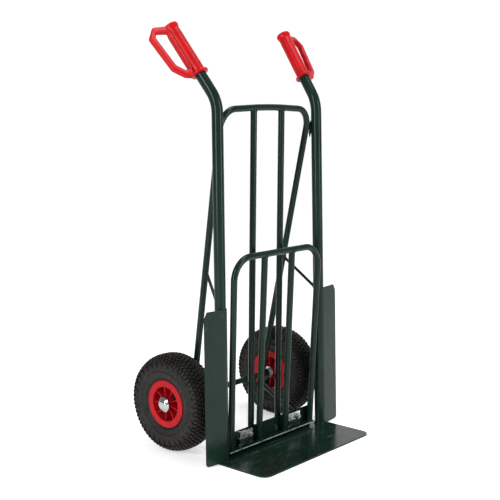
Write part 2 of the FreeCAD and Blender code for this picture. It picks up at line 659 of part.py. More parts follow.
for name, side in SIDES.items():
    guard = new_body(f"guard_{name}")
    section = sketch_on(guard, "XY_Plane")
    draw_line_work(section, [
        (f"-{side} * {outer}", "Sizes.guard_inner_edge"),
        (f"-{side} * {outer}", wing_line(outer, f"-{outer}"), outer),
        (f"{side} * Sizes.guard_reach", wing_line(outer, "Sizes.guard_reach")),
        (f"{side} * Sizes.guard_reach", wing_line(inner, "Sizes.guard_reach")),
        (f"-{side} * {inner}", wing_line(inner, f"-{inner}"), inner),
        (f"-{side} * {inner}", "Sizes.guard_inner_edge"),
    ])
    pad(guard, section, "Sizes.guard_top - Sizes.toe_sheet - Sizes.weld_gap", both_ways=False)
    corner_cut = sketch_on(guard, "XZ_Plane")
    top = "Sizes.guard_top - Sizes.toe_sheet - Sizes.weld_gap"
    cut_in = f"{side} * (Sizes.guard_reach - Sizes.guard_chamfer_wide)"
    cut_out = f"{side} * (Sizes.guard_reach + Sizes.guard_chamfer_wide)"
    cut_top = f"{top} + Sizes.guard_chamfer_high"
    draw_line_work(corner_cut, [
        (cut_in, top),
        (f"{side} * Sizes.guard_reach", f"{top} - Sizes.guard_chamfer_high"),
        (cut_out, f"{top} - Sizes.guard_chamfer_high"),
        (cut_out, cut_top),
        (cut_in, cut_top),
    ])
    chamfer = pocket(guard, corner_cut, "4 * Sizes.upright_tube")
    reach = size("Sizes.guard_reach")
    low_corner = [
        f"Edge{number}" for number, edge in enumerate(chamfer.Shape.Edges, start=1)
        if abs(edge.CenterOfMass.z) < 0.01 and abs(abs(edge.CenterOfMass.x) - reach) < 0.01
    ]
    rounding = guard.newObject("PartDesign::Fillet", "LowCorner")
    rounding.Base = (chamfer, low_corner)
    rounding.setExpression("Radius", "Sizes.guard_corner")
    up = upright_direction(side)
    square = Rotation(SIDEWAYS, BACKWARD, up, "ZXY")
    guard.Placement = Placement(upright_foot(side), square)


# ---------------------------------------------------------------- grips

# The grip's own frame starts at its lower flange, with Z up the handle tube.
grip_start = "(Sizes.handle_length - (Sizes.grip_length - Sizes.grip_end_wall))"
# the hand guard joins the sleeve half way into its wall
loop_root = "(Sizes.upright_tube / 2 + Sizes.grip_sleeve / 2) / 2"
loop_outside = [
    (loop_root, "Sizes.grip_length + Sizes.loop_over"),
    ("Sizes.loop_top_reach", "Sizes.grip_length + Sizes.loop_over", "Sizes.loop_top_round"),
    ("Sizes.loop_high_reach", "Sizes.grip_length - Sizes.loop_high_drop",
     "Sizes.loop_high_round"),
    ("Sizes.loop_low_reach", "Sizes.loop_low_rise", "Sizes.loop_low_round"),
    ("Sizes.loop_foot_reach", "Sizes.loop_foot_rise", "Sizes.loop_low_round"),
    ("Sizes.loop_under_reach", "-Sizes.loop_under", "Sizes.loop_under_round"),
    (loop_root, "-Sizes.loop_under"),
]
loop_opening = [
    ("Sizes.gap_sleeve_side", "Sizes.gap_foot"),
    ("Sizes.gap_foot_reach", "Sizes.gap_foot + Sizes.gap_foot_rise"),
    ("Sizes.gap_low_reach", "Sizes.gap_low_rise"),
    ("Sizes.gap_high_reach", "Sizes.grip_length - Sizes.gap_high_drop"),
    ("Sizes.gap_top_reach", "Sizes.grip_length - Sizes.gap_top_drop"),
    ("Sizes.gap_sleeve_side", "Sizes.grip_length - Sizes.gap_inner_drop"),
]
for name, side in SIDES.items():
    grip = new_body(f"grip_{name}")
    sleeve = sketch_on(grip, "XZ_Plane")
    draw_line_work(sleeve, [
        ("Sizes.upright_tube / 2", 0),
        ("Sizes.grip_flange / 2", 0, "Sizes.grip_flange_round"),
        ("Sizes.grip_flange / 2", "Sizes.grip_flange_width", "Sizes.grip_flange_round"),
        ("Sizes.grip_sleeve / 2", "Sizes.grip_flange_width + Sizes.grip_flange_round",
         "Sizes.grip_sleeve_round"),
        ("Sizes.grip_sleeve / 2", "Sizes.grip_length - Sizes.grip_cap_width"),
        ("Sizes.grip_cap / 2", "Sizes.grip_length - Sizes.grip_cap_width / 2",
         "Sizes.grip_cap_round"),
        ("Sizes.grip_cap / 2", "Sizes.grip_length", "Sizes.grip_cap_round"),
        (0, "Sizes.grip_length"),
        (0, "Sizes.grip_length - Sizes.grip_end_wall"),
        ("Sizes.upright_tube / 2", "Sizes.grip_length - Sizes.grip_end_wall"),
    ])
    turn(grip, sleeve, "V_Axis")
    loop = sketch_on(grip, "XZ_Plane")
    draw_line_work(loop, loop_outside)
    draw_line_work(loop, [corner + ("Sizes.gap_round",) for corner in loop_opening])
    pad(grip, loop, "Sizes.loop_bar")
    up = upright_turn(side).multVec(Vector(
        math.sin(math.radians(size("Sizes.handle_bend"))), 0,
        math.cos(math.radians(size("Sizes.handle_bend")))))
    corner = upright_foot(side) + upright_direction(side) * size("Sizes.upright_straight")
    tilt = math.radians(size(f"Sizes.loop_tilt_{name}"))
    backward = (BACKWARD - up * BACKWARD.dot(up)).normalize()
    outward = Vector(side, 0, 0)
    outward = (outward - up * outward.dot(up)).normalize()
    reach_out = (outward * math.cos(tilt) + backward * math.sin(tilt)).normalize()
    grip.Placement = Placement(corner + up * size(grip_start),
                               Rotation(reach_out, up.cross(reach_out), up, "ZXY"))


# ------------------------------------------------------------ fold-down frame

fold_turn = Rotation(SIDEWAYS, size("Sizes.fold_lean"))
fold_foot = Vector(0, size("Sizes.fold_foot_y"), 0)


def place_fold(piece):
    place(piece, 0, "Sizes.fold_foot_y", 0, fold_turn)


def fold_point(across, ahead, height):
    """Point of the stowed frame: its own width, distance ahead of its plane, height."""
    return fold_foot + fold_turn.multVec(Vector(across, -ahead, height))


rail_top = "Sizes.fold_rail_low + Sizes.fold_rail_sheet"

fold_hoop = new_body("fold_hoop")
path = sketch_on(fold_hoop, "XZ_Plane")
draw_line_work(path, [
    (0, "Sizes.fold_height"),
    ("Sizes.fold_half_width_top", "Sizes.fold_height", "Sizes.fold_corner_radius"),
    ("Sizes.fold_half_width_foot", f"{rail_top} + Sizes.weld_gap"),
], closed=False)
section = sketch_on(fold_hoop, "YZ_Plane")
draw_circle(section, "Sizes.rod_tube / 2", 0, "Sizes.fold_height")
draw_circle(section, "Sizes.rod_tube / 2 - Sizes.rod_wall", 0, "Sizes.fold_height")
half_hoop = pipe(fold_hoop, section, path)
mirror_across_middle(fold_hoop, half_hoop)
place_fold(fold_hoop)

for name, side in SIDES.items():
    foot = fold_point(side * size("Sizes.fold_bar_foot_x"), 0, size(f"{rail_top} + Sizes.weld_gap"))
    top = fold_point(side * size("Sizes.fold_bar_top_x"), 0, size("Sizes.fold_height"))
    bar = straight_tube(foot, top, "Sizes.rod_tube", "Sizes.rod_wall")
    notch_start = top - Vector(size("Sizes.rod_tube"), 0, 0)
    notch = cylinder(hoop_top_notch, "2 * Sizes.rod_tube", notch_start, SIDEWAYS)
    keep(f"fold_bar_{name}", cut(bar, notch))

# Flat rail under the tubes, cut back round the hinges and notched beside them.
rail = new_body("fold_rail")
outline = sketch_on(rail, "XY_Plane")
back = "Sizes.rod_tube / 2"
front = "-Sizes.fold_rail_front"
relief = "(Sizes.hinge_half_width + Sizes.rail_relief)"
notch_out = "(Sizes.hinge_half_width + Sizes.rail_notch_far)"
notch_in = "(Sizes.hinge_half_width + Sizes.rail_notch_near)"
draw_line_work(outline, [
    ("-Sizes.fold_rail_half", front),
    (f"-Sizes.hinge_x - {notch_out}", front),
    (f"-Sizes.hinge_x - {notch_out}", "-Sizes.rail_notch_end"),
    (f"-Sizes.hinge_x - {notch_in}", "-Sizes.rail_notch_end"),
    (f"-Sizes.hinge_x - {notch_in}", front),
    (f"Sizes.hinge_x - {notch_out}", front),
    (f"Sizes.hinge_x - {notch_out}", "-Sizes.rail_notch_end"),
    (f"Sizes.hinge_x - {notch_in}", "-Sizes.rail_notch_end"),
    (f"Sizes.hinge_x - {notch_in}", front),
    ("Sizes.fold_rail_half", front),
    ("Sizes.fold_rail_half", back),
    (f"Sizes.hinge_x + {relief}", back),
    (f"Sizes.hinge_x + {relief}", 0),
    (f"Sizes.hinge_x - {relief}", 0),
    (f"Sizes.hinge_x - {relief}", back),
    (f"-Sizes.hinge_x + {relief}", back),
    (f"-Sizes.hinge_x + {relief}", 0),
    (f"-Sizes.hinge_x - {relief}", 0),
    (f"-Sizes.hinge_x - {relief}", back),
    ("-Sizes.fold_rail_half", back),
])
pad(rail, outline, "Sizes.fold_rail_sheet", both_ways=False)
rail_start = fold_point(0, 0, size("Sizes.fold_rail_low"))
rail.Placement = Placement(rail_start, fold_turn)


# ---------------------------------------------------------------- hinges

# The pin's height lets the frame lie just clear of the toe plate when it is down.
lean = math.radians(size("Sizes.fold_lean"))
lie_height = size("Sizes.toe_sheet + Sizes.fold_rail_front + Sizes.fold_rest_gap")
pin_ahead = size("Sizes.hinge_y - Sizes.fold_foot_y")
hinge_height = (lie_height + math.cos(lean) * pin_ahead) / (1 - math.sin(lean))
hinge_pin = Vector(0, size("Sizes.hinge_y"), hinge_height)
pin_in_fold = fold_turn.inverted().multVec(hinge_pin - fold_foot)
barrel = "Sizes.hinge_barrel / 2"
pin_hole = "Sizes.hinge_pin_rod / 2 + Sizes.running_gap"
web_front = "(Sizes.hinge_y - Sizes.hinge_web_ahead)"
bolt_hole = "Sizes.bolt_rod / 2 + Sizes.bolt_hole_gap"


def along_hinge(side, offset):
    return hinge_pin + Vector(side * size("Sizes.hinge_x") + size(offset), 0, 0)


for name, side in SIDES.items():
    middle = f"{side} * Sizes.hinge_x"
    left, right = f"{middle} - Sizes.hinge_half_width", f"{middle} + Sizes.hinge_half_width"
    knuckle = "(Sizes.hinge_knuckle + Sizes.hinge_play)"
    clear_of_barrel = f"{hinge_height} + {barrel} + 2 * Sizes.hinge_play"
    web_back = f"{web_front} + Sizes.hinge_sheet"
    upstand_front = "Sizes.upstand_back - Sizes.toe_sheet"
    web = box((left, web_front, clear_of_barrel), (right, web_back, "Sizes.upstand_top"))
    left_side = box((left, web_back, clear_of_barrel),
                    (f"{left} + Sizes.hinge_sheet", upstand_front, "Sizes.upstand_top"))
    right_side = box((f"{right} - Sizes.hinge_sheet", web_back, clear_of_barrel),
                     (right, upstand_front, "Sizes.upstand_top"))
    pieces = [web, left_side, right_side]
    pin_length = "2 * (Sizes.hinge_half_width + Sizes.hinge_pin_end)"
    pin_start = along_hinge(side, "-Sizes.hinge_half_width - Sizes.hinge_pin_end")
    for start, stop in ((left, f"{middle} - {knuckle}"), (f"{middle} + {knuckle}", right)):
        pieces.append(box((start, web_front, hinge_height),
                          (stop, web_back, clear_of_barrel)))
        ring_start = Vector(size(start), hinge_pin.y, hinge_pin.z)
        pieces.append(cylinder(barrel, f"({stop}) - ({start})", ring_start, SIDEWAYS))
    pin_bore = cylinder("Sizes.hinge_pin_rod / 2", pin_length, pin_start, SIDEWAYS)
    bolt_place = Vector(size(f"{middle} + Sizes.bolt_x"), size("-2 * Sizes.nut_flats"),
                        size("Sizes.bolt_z"))
    bolt_bore = cylinder(bolt_hole, "4 * Sizes.nut_flats", bolt_place, BACKWARD)
    keep(f"hinge_bracket_{name}", cut(fuse(*pieces), pin_bore, bolt_bore))

    pin = cylinder("Sizes.hinge_pin_rod / 2", pin_length, pin_start, SIDEWAYS)
    head = cylinder("Sizes.hinge_pin_head_rod / 2", "Sizes.hinge_pin_head", pin_start, SIDEWAYS)
    keep(f"hinge_pin_{name}", fuse(pin, head))

    tab = doc.addObject("Part::Box", "Box")
    tab.setExpression("Length", "2 * Sizes.hinge_knuckle")
    tab.setExpression("Width", "Sizes.hinge_leaf_depth")
    tab.setExpression("Height", "Sizes.hinge_sheet")
    tab_corner = Vector(size(f"{middle} - Sizes.hinge_knuckle"),
                        pin_in_fold.y - size("Sizes.hinge_leaf_depth"),
                        size(f"{rail_top}"))
    tab.Placement = Placement(fold_foot + fold_turn.multVec(tab_corner), fold_turn)
    moving_barrel = cylinder(barrel, "2 * Sizes.hinge_knuckle",
                             along_hinge(side, "-Sizes.hinge_knuckle"), SIDEWAYS)
    pin_clearance = cylinder(pin_hole, f"2 * {knuckle}", along_hinge(side, f"-{knuckle}"),
                             SIDEWAYS)
    keep(f"hinge_leaf_{name}", cut(fuse(tab, moving_barrel), pin_clearance))

    # hexagon bolt from behind, with its nut in front
    for node, face, thick, heading in (
            (f"hinge_bolt_{name}", "Sizes.upstand_back", "Sizes.bolt_head_thick", BACKWARD),
            (f"hinge_nut_{name}", web_front, "Sizes.nut_thick", FORWARD)):
        hexagon = doc.addObject("Part::Prism", "Prism")
        hexagon.Polygon = 6
        hexagon.setExpression("Circumradius", "Sizes.nut_flats / sqrt(3)")
        hexagon.setExpression("Height", thick)
        start = Vector(bolt_place.x, size(face), bolt_place.z)
        hexagon.Placement = Placement(start, Rotation(Vector(0, 0, 1), heading))
        if node.startswith("hinge_nut"):
            bore = cylinder("Sizes.bolt_rod / 2", thick, start, heading)
            keep(node, cut(hexagon, bore))
        else:
            reach = f"{face} - {web_front} + Sizes.nut_thick + Sizes.bolt_show"
            keep(node, fuse(hexagon, cylinder("Sizes.bolt_rod / 2", reach, start, FORWARD)))


# ---------------------------------------------------------------- wheels

rim_side = "(Sizes.rim_width / 2)"
rim_groove = f"({rim_side} - Sizes.rim_flange)"
rim_inside = "(Sizes.rim_seat - Sizes.rim_seat_wall)"
hub_bore = "(Sizes.axle_rod / 2 + Sizes.roller_rod + 2 * Sizes.running_gap)"
roller_circle = "(Sizes.axle_rod / 2 + Sizes.running_gap + Sizes.roller_rod / 2)"
tyre_side = "(Sizes.tyre_width / 2)"
tyre_top = "(Sizes.wheel_diameter / 2)"
bead_side = f"({rim_groove} - Sizes.seat_gap)"
bead_foot = "(Sizes.rim_seat + Sizes.seat_gap)"
over_rim = "(Sizes.rim_diameter / 2 + Sizes.tyre_over_rim)"


def mirrored_outline(corners):
    """Outline symmetric about the wheel's middle, from its right-hand half."""
    other = [(f"-({corner[0]})",) + tuple(corner[1:]) for corner in reversed(corners)]
    return corners + other


def tyre_outline(inset_side, inset_top, bead):
    """Half section from the bead up the side wall to the tread."""
    side_wall = f"{tyre_side} - ({inset_side})"
    return [
        (bead, bead_foot),
        (bead, over_rim),
        (side_wall, f"{over_rim} + Sizes.tyre_bulge_rise", "Sizes.tyre_bulge_round"),
        (side_wall, f"{tyre_top} - Sizes.tyre_shoulder_drop - ({inset_top}) / 2",
         "Sizes.tyre_shoulder_round"),
        (f"{tyre_side} - Sizes.tyre_tread_inset - ({inset_side}) / 2",
         f"{tyre_top} - ({inset_top})", "Sizes.tyre_tread_round"),
    ]


def wheel_place(piece, side):
    place(piece, f"{side} * Sizes.wheel_x", "Sizes.axle_y", AXLE_HEIGHT)


def wheel_point(side, along, angle, radius):
    """Point of a wheel: distance outwards along the axle, angle from the top, radius."""
    return Vector(side * (size("Sizes.wheel_x") + along),
                  size("Sizes.axle_y") - radius * math.sin(angle),
                  size(AXLE_HEIGHT) + radius * math.cos(angle))


rib_turn = size("Sizes.rim_rib_turn")
rib_pitch = 360.0 / size("Sizes.rim_ribs")

for name, side in SIDES.items():
    tyre = new_body(f"tyre_{name}")
    section = sketch_on(tyre, "XY_Plane")
    outside = tyre_outline("0", "0", bead_side)
    inside = tyre_outline("Sizes.tyre_wall", "Sizes.tyre_tread", f"{bead_side} - Sizes.tyre_bead")
    draw_line_work(section, mirrored_outline(list(reversed(inside)) + outside))
    turn(tyre, section)
    wheel_place(tyre, side)

    rim = rough_body()
    section = sketch_on(rim, "XY_Plane")
    draw_line_work(section, mirrored_outline([
        ("Sizes.hub_length / 2", hub_bore),
        ("Sizes.hub_length / 2", "Sizes.hub_outside / 2"),
        ("Sizes.rim_web / 2", "Sizes.hub_outside / 2"),
        ("Sizes.rim_web / 2", rim_inside),
        (rim_side, rim_inside),
        (rim_side, "Sizes.rim_diameter / 2"),
        (rim_groove, "Sizes.rim_diameter / 2"),
        (rim_groove, "Sizes.rim_seat"),
    ]))
    turn(rim, section)
    rib_section = sketch_on(rim, "YZ_Plane")
    half_rib = "Sizes.rim_rib / 2"
    rib_low = "Sizes.hub_outside / 2 - Sizes.rim_rib_sunk"
    rib_high = f"{rim_inside} + Sizes.rim_rib_sunk"
    draw_line_work(rib_section, [
        (f"-{half_rib}", rib_low), (half_rib, rib_low),
        (half_rib, rib_high), (f"-{half_rib}", rib_high),
    ])
    rib = pad(rim, rib_section, "Sizes.rim_rib_width")
    ribs = rim.newObject("PartDesign::PolarPattern", "Ribs")
    ribs.Originals = [rib]
    ribs.Axis = (origin_plane(rim, "X_Axis"), [""])
    ribs.Angle = 360
    ribs.setExpression("Occurrences", "Sizes.rim_ribs")
    rim.Tip = ribs
    rim.Placement = Placement(Vector(), Rotation(SIDEWAYS, rib_turn))
    wheel_place(rim, side)
    valve_angle = math.radians(rib_turn + rib_pitch / 2)
    valve_out = size("Sizes.valve_offset")
    valve_top = size("Sizes.rim_seat")
    stem_start = wheel_point(side, valve_out, valve_angle,
                             valve_top - size("Sizes.valve_length"))
    stem_end = wheel_point(side, valve_out, valve_angle, valve_top)
    hole_end = wheel_point(side, valve_out, valve_angle, size("Sizes.rim_diameter / 2"))
    hole_run = hole_end - stem_start
    valve_hole = cylinder("Sizes.valve_rod / 2 + Sizes.seat_gap", hole_run.Length,
                          stem_start, hole_run)
    keep(f"rim_{name}", cut(rim, valve_hole))
    keep(f"valve_stem_{name}", straight_tube(stem_start, stem_end, "Sizes.valve_rod"))
    inward = (stem_start - stem_end).normalize()
    keep(f"valve_cap_{name}",
         cylinder("Sizes.valve_cap_rod / 2", "Sizes.valve_cap_length",
                  stem_start, inward))

    tube = new_body(f"inner_tube_{name}")
    section = sketch_on(tube, "XY_Plane")
    gap = "Sizes.seat_gap"
    for wall in ("0", "Sizes.tube_wall"):
        half = tyre_outline(f"Sizes.tyre_wall + {gap} + {wall}",
                            f"Sizes.tyre_tread + {gap} + {wall}",
                            f"{bead_side} - Sizes.tyre_bead - {gap} - {wall}")
        half[0] = (half[0][0], f"{bead_foot} + {wall}")
        draw_line_work(section, mirrored_outline(half))
    turn(tube, section)
    wheel_place(tube, side)

    cage = rough_body()
    section = sketch_on(cage, "XY_Plane")
    cage_in = "Sizes.axle_rod / 2 + Sizes.cage_inset"
    cage_out = f"{hub_bore} - Sizes.cage_inset"
    draw_line_work(section, mirrored_outline([
        ("Sizes.cage_length / 2", cage_in), ("Sizes.cage_length / 2", cage_out)]))
    turn(cage, section)
    wheel_place(cage, side)
    rollers, slots = [], []
    for number in range(int(size("Sizes.roller_count"))):
        angle = 2 * math.pi * number / size("Sizes.roller_count")
        start = wheel_point(side, 0, angle, size(roller_circle))
        start.x -= size("Sizes.roller_length") / 2
        rollers.append(cylinder("Sizes.roller_rod / 2", "Sizes.roller_length", start, SIDEWAYS))
        start.x -= size("Sizes.side_gap")
        slots.append(cylinder("Sizes.roller_rod / 2 + Sizes.running_gap",
                              "Sizes.roller_length + 2 * Sizes.side_gap", start, SIDEWAYS))
    keep(f"roller_cage_{name}", cut(cage, fuse(*slots)))
    keep(f"rollers_{name}", group(*rollers))


# -------------------------------------------- what holds the wheels on the axle

hub_face = "(Sizes.hub_length / 2 + Sizes.side_gap)"
for name, side in SIDES.items():
    inner_start = f"Sizes.wheel_x - {hub_face} - Sizes.washer_sheet"
    outer_start = f"Sizes.wheel_x + {hub_face}"
    plate_out = ("Sizes.hoop_foot_x + Sizes.rod_tube / 2 + Sizes.lug_gap"
                 " + Sizes.lug_sheet + Sizes.weld_gap")
    for node, start, length, outside in (
            (f"inner_washer_{name}", inner_start, "Sizes.washer_sheet", "Sizes.washer_outside"),
            (f"outer_washer_{name}", outer_start, "Sizes.washer_sheet", "Sizes.washer_outside"),
            (f"spacer_collar_{name}", plate_out, f"{inner_start} - ({plate_out})",
             "Sizes.collar_outside")):
        foot = Vector(side * size(start), size("Sizes.axle_y"), size(AXLE_HEIGHT))
        direction = Vector(side, 0, 0)
        ring = cylinder(f"{outside} / 2", length, foot, direction)
        hole = cylinder("Sizes.axle_rod / 2 + Sizes.running_gap", length, foot, direction)
        keep(node, cut(ring, hole))

    cap = new_body(f"hub_cap_{name}")
    section = sketch_on(cap, "XY_Plane")
    socket = "(Sizes.axle_in_cap + Sizes.running_gap)"
    draw_line_work(section, [
        (0, "Sizes.axle_rod / 2"),
        (0, "Sizes.cap_diameter / 2"),
        ("Sizes.cap_rim", "Sizes.cap_diameter / 2"),
        ("Sizes.cap_depth", "Sizes.cap_crown", "Sizes.cap_round"),
        ("Sizes.cap_depth", 0),
        (socket, 0),
        (socket, "Sizes.axle_rod / 2"),
    ])
    turn(cap, section)
    cap.Placement = Placement(Vector(), Rotation(Vector(0, 0, 1), 0 if side > 0 else 180))
    place(cap, f"{side} * ({outer_start} + Sizes.washer_sheet)", "Sizes.axle_y", AXLE_HEIGHT)


# ---------------------------------------------------------------- checks and files

doc.recompute()
for item in doc.Objects:
    failed = {"Invalid", "Error"} & set(item.State)
    if failed:
        raise RuntimeError(f"{item.Name} ({item.Label}) is {item.State}")
for node, piece in nodes.items():
    shape = piece.Shape
    if shape.isNull() or not shape.isValid() or not shape.Solids:
        raise RuntimeError(f"{node} has no valid solid")

os.makedirs("parts", exist_ok=True)
for node, piece in nodes.items():
    piece.Shape.exportStep(f"parts/{node}.step")
    print(f"{node:24s} solids {len(piece.Shape.Solids)}  volume {piece.Shape.Volume:12.1f}")
print(f"{len(nodes)} nodes; hinge pin height {hinge_height:.3f}; "
      f"hoop tilt {hoop_tilt:.3f}; grip start {size(grip_start):.2f}")
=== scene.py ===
import math

import bmesh
import bpy
from mathutils import Matrix, Vector


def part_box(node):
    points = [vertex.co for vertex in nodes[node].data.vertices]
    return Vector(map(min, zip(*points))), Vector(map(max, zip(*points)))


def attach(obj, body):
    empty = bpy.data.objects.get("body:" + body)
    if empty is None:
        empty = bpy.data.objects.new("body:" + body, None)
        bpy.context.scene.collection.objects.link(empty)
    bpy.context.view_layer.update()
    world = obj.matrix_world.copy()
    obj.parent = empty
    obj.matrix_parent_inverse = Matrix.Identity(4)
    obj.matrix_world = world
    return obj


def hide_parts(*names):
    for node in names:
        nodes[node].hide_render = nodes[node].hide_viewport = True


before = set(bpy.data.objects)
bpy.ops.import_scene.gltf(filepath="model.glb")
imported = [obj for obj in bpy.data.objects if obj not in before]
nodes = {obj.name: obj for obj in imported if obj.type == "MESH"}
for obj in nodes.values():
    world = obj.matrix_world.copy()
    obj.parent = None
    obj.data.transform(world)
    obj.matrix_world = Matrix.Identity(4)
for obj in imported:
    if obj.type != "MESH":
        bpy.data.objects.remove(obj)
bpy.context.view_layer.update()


# ---------------------------------------------------------------- toe plate
# The toe plate is one pressed steel sheet with its back edge folded up.
# Like the whole frame it is powder coated dark green, and loads have scuffed its top.

def new_finish(name, roughness, metal=0.0, coat=0.0, coat_roughness=0.1):
    """A material with its plain numbers set on the shader itself."""
    finish = bpy.data.materials.new(name)
    finish.use_nodes = True
    shader = finish.node_tree.nodes["Principled BSDF"]
    shader.inputs["Roughness"].default_value = roughness
    shader.inputs["Metallic"].default_value = metal
    shader.inputs["Coat Weight"].default_value = coat
    shader.inputs["Coat Roughness"].default_value = coat_roughness
    return finish, finish.node_tree, shader


def cloud(tree, scale, detail=3.0, stretch=(1, 1, 1)):
    """Soft noise fixed to the piece, with its grain stretched along the axes."""
    where = tree.nodes.new("ShaderNodeTexCoord")
    fit = tree.nodes.new("ShaderNodeMapping")
    fit.inputs["Scale"].default_value = stretch
    noise = tree.nodes.new("ShaderNodeTexNoise")
    noise.inputs["Scale"].default_value = scale
    noise.inputs["Detail"].default_value = detail
    tree.links.new(where.outputs["Object"], fit.inputs["Vector"])
    tree.links.new(fit.outputs["Vector"], noise.inputs["Vector"])
    return noise.outputs["Fac"]


def between(tree, value, start, stop, low=0.0, high=1.0):
    """A value's stretch from start to stop, spread over low to high."""
    node = tree.nodes.new("ShaderNodeMapRange")
    node.inputs["From Min"].default_value = start
    node.inputs["From Max"].default_value = stop
    node.inputs["To Min"].default_value = low
    node.inputs["To Max"].default_value = high
    tree.links.new(value, node.inputs["Value"])
    return node.outputs["Result"]


def mixed(tree, share, first, second):
    """Two colours, or a colour and another mix, laid over each other by a share."""
    node = tree.nodes.new("ShaderNodeMix")
    node.data_type = "RGBA"
    tree.links.new(share, node.inputs[0])
    for socket, colour in ((node.inputs[6], first), (node.inputs[7], second)):
        if isinstance(colour, tuple):
            socket.default_value = (*colour, 1)
        else:
            tree.links.new(colour, socket)
    return node.outputs[2]


def dent(tree, shader, height, depth, below=None):
    """Bump of a depth in metres, over another bump when one is given."""
    bump = tree.nodes.new("ShaderNodeBump")
    bump.inputs["Strength"].default_value = 1.0
    bump.inputs["Distance"].default_value = depth
    tree.links.new(height, bump.inputs["Height"])
    if below is not None:
        tree.links.new(below, bump.inputs["Normal"])
    tree.links.new(bump.outputs["Normal"], shader.inputs["Normal"])
    return bump.outputs["Normal"]


PAINT_DEEP = (0.0042, 0.0155, 0.0100)
PAINT_LIGHT = (0.0075, 0.0235, 0.0160)
PAINT_DUST = (0.10, 0.125, 0.105)
PAINT_SCUFF = (0.17, 0.21, 0.18)


def green_paint(name, scuffs=0.0, dust=0.12):
    """Gloss powder coat: faint orange peel, a little dust, and scuffs where it is used."""
    finish, tree, shader = new_finish(name, 0.3)
    shader.inputs["Specular IOR Level"].default_value = 0.18
    colour = mixed(tree, between(tree, cloud(tree, 9), 0.35, 0.7), PAINT_DEEP, PAINT_LIGHT)
    specks = between(tree, cloud(tree, 420, 1.0), 0.70, 0.76, 0, dust)
    colour = mixed(tree, specks, colour, PAINT_DUST)
    rough = between(tree, cloud(tree, 26, 5.0), 0.3, 0.75, 0.13, 0.27)
    if scuffs:
        for turn, length in ((0.5, 22), (2.1, 16)):
            where = tree.nodes.new("ShaderNodeTexCoord")
            fit = tree.nodes.new("ShaderNodeMapping")
            fit.inputs["Rotation"].default_value = (0, 0, turn)
            fit.inputs["Scale"].default_value = (length, length * 14, length)
            noise = tree.nodes.new("ShaderNodeTexNoise")
            noise.inputs["Scale"].default_value = 1.0
            noise.inputs["Detail"].default_value = 2.0
            noise.inputs["Distortion"].default_value = 0.4
            tree.links.new(where.outputs["Object"], fit.inputs["Vector"])
            tree.links.new(fit.outputs["Vector"], noise.inputs["Vector"])
            lines = between(tree, noise.outputs["Fac"], 0.67, 0.74, 0, scuffs)
            colour = mixed(tree, lines, colour, PAINT_SCUFF)
    tree.links.new(colour, shader.inputs["Base Color"])
    tree.links.new(rough, shader.inputs["Roughness"])
    dent(tree, shader, cloud(tree, 330, 2.0), 0.000025)
    return finish


def coat(node, finish):
    """Give a piece of the frame its finish."""
    skin = nodes[node].data.materials
    skin.clear()
    skin.append(finish)


def soften(node, width):
    """Break the sharp edges of a piece, as the paint does."""
    edge = nodes[node].modifiers.new("broken_edges", "BEVEL")
    edge.width = width
    edge.segments = 2
    edge.limit_method = "ANGLE"
    edge.angle_limit = math.radians(40)
    edge.harden_normals = True


frame_paint = green_paint("green_paint")
plate_paint = green_paint("green_paint_scuffed", scuffs=0.45, dust=0.3)
coat("toe_plate", plate_paint)
soften("toe_plate", 0.0006)


# ---------------------------------------------------------------- uprights
# Two round steel tubes, bent back and outwards at the top to make the handles.
# Each foot stands on the toe plate and is welded round.

SIDES = {"left": -1, "right": 1}


def tube_centre(node, axis, place, side=0):
    """Centre of a tube where a plane square to an axis cuts it, on one side of the truck."""
    mesh = nodes[node].data
    cuts = []
    for edge in mesh.edges:
        first, second = (mesh.vertices[i].co for i in edge.vertices)
        if (first[axis] - place) * (second[axis] - place) >= 0 or first.x * side < 0:
            continue
        share = (place - first[axis]) / (second[axis] - first[axis])
        cuts.append(first.lerp(second, share))
    low = Vector([min(cut[i] for cut in cuts) for i in range(3)])
    high = Vector([max(cut[i] for cut in cuts) for i in range(3)])
    return (low + high) / 2


def ring_on_flat(start, along, radius, point, normal, steps=72):
    """Line where a tube's outside meets a flat face."""
    across = along.orthogonal().normalized()
    other = along.cross(across)
    line = []
    for i in range(steps):
        angle = 2 * math.pi * i / steps
        side = start + (across * math.cos(angle) + other * math.sin(angle)) * radius
        line.append(side + along * ((point - side).dot(normal) / along.dot(normal)))
    return line


WELD_STEP = 0.0032


def weld_run(mesh, line, closed, thickness):
    """Add one bead to a mesh: a thin rounded run, heaped where each pool of metal set."""
    sides = 8
    count = len(line)
    travelled = 0.0
    rings = []
    for i, point in enumerate(line):
        before = line[i - 1] if closed or i > 0 else point
        after = line[(i + 1) % count] if closed or i < count - 1 else point
        ahead = (after - before).normalized()
        travelled += (point - before).length
        across = ahead.orthogonal().normalized()
        other = ahead.cross(across)
        heap = 1 + 0.16 * abs(math.sin(math.pi * travelled / WELD_STEP))
        heap += 0.08 * math.sin(travelled * 910) * math.sin(travelled * 370 + 1)
        if not closed:
            heap *= min(1.0, 0.25 + 3.0 * min(i, count - 1 - i) / count)
        size = thickness * heap
        rings.append([mesh.verts.new(
            point + (across * math.cos(2 * math.pi * j / sides)
                     + other * math.sin(2 * math.pi * j / sides)) * size)
            for j in range(sides)])
    for i in range(count if closed else count - 1):
        first, second = rings[i], rings[(i + 1) % count]
        # the next ring starts at whichever corner lies nearest
        shift = min(range(sides), key=lambda j: (second[j].co - first[0].co).length)
        for j in range(sides):
            mesh.faces.new((first[j], first[(j + 1) % sides],
                            second[(j + 1 + shift) % sides], second[(j + shift) % sides]))
    if not closed:
        mesh.faces.new(rings[0])
        mesh.faces.new(rings[-1])


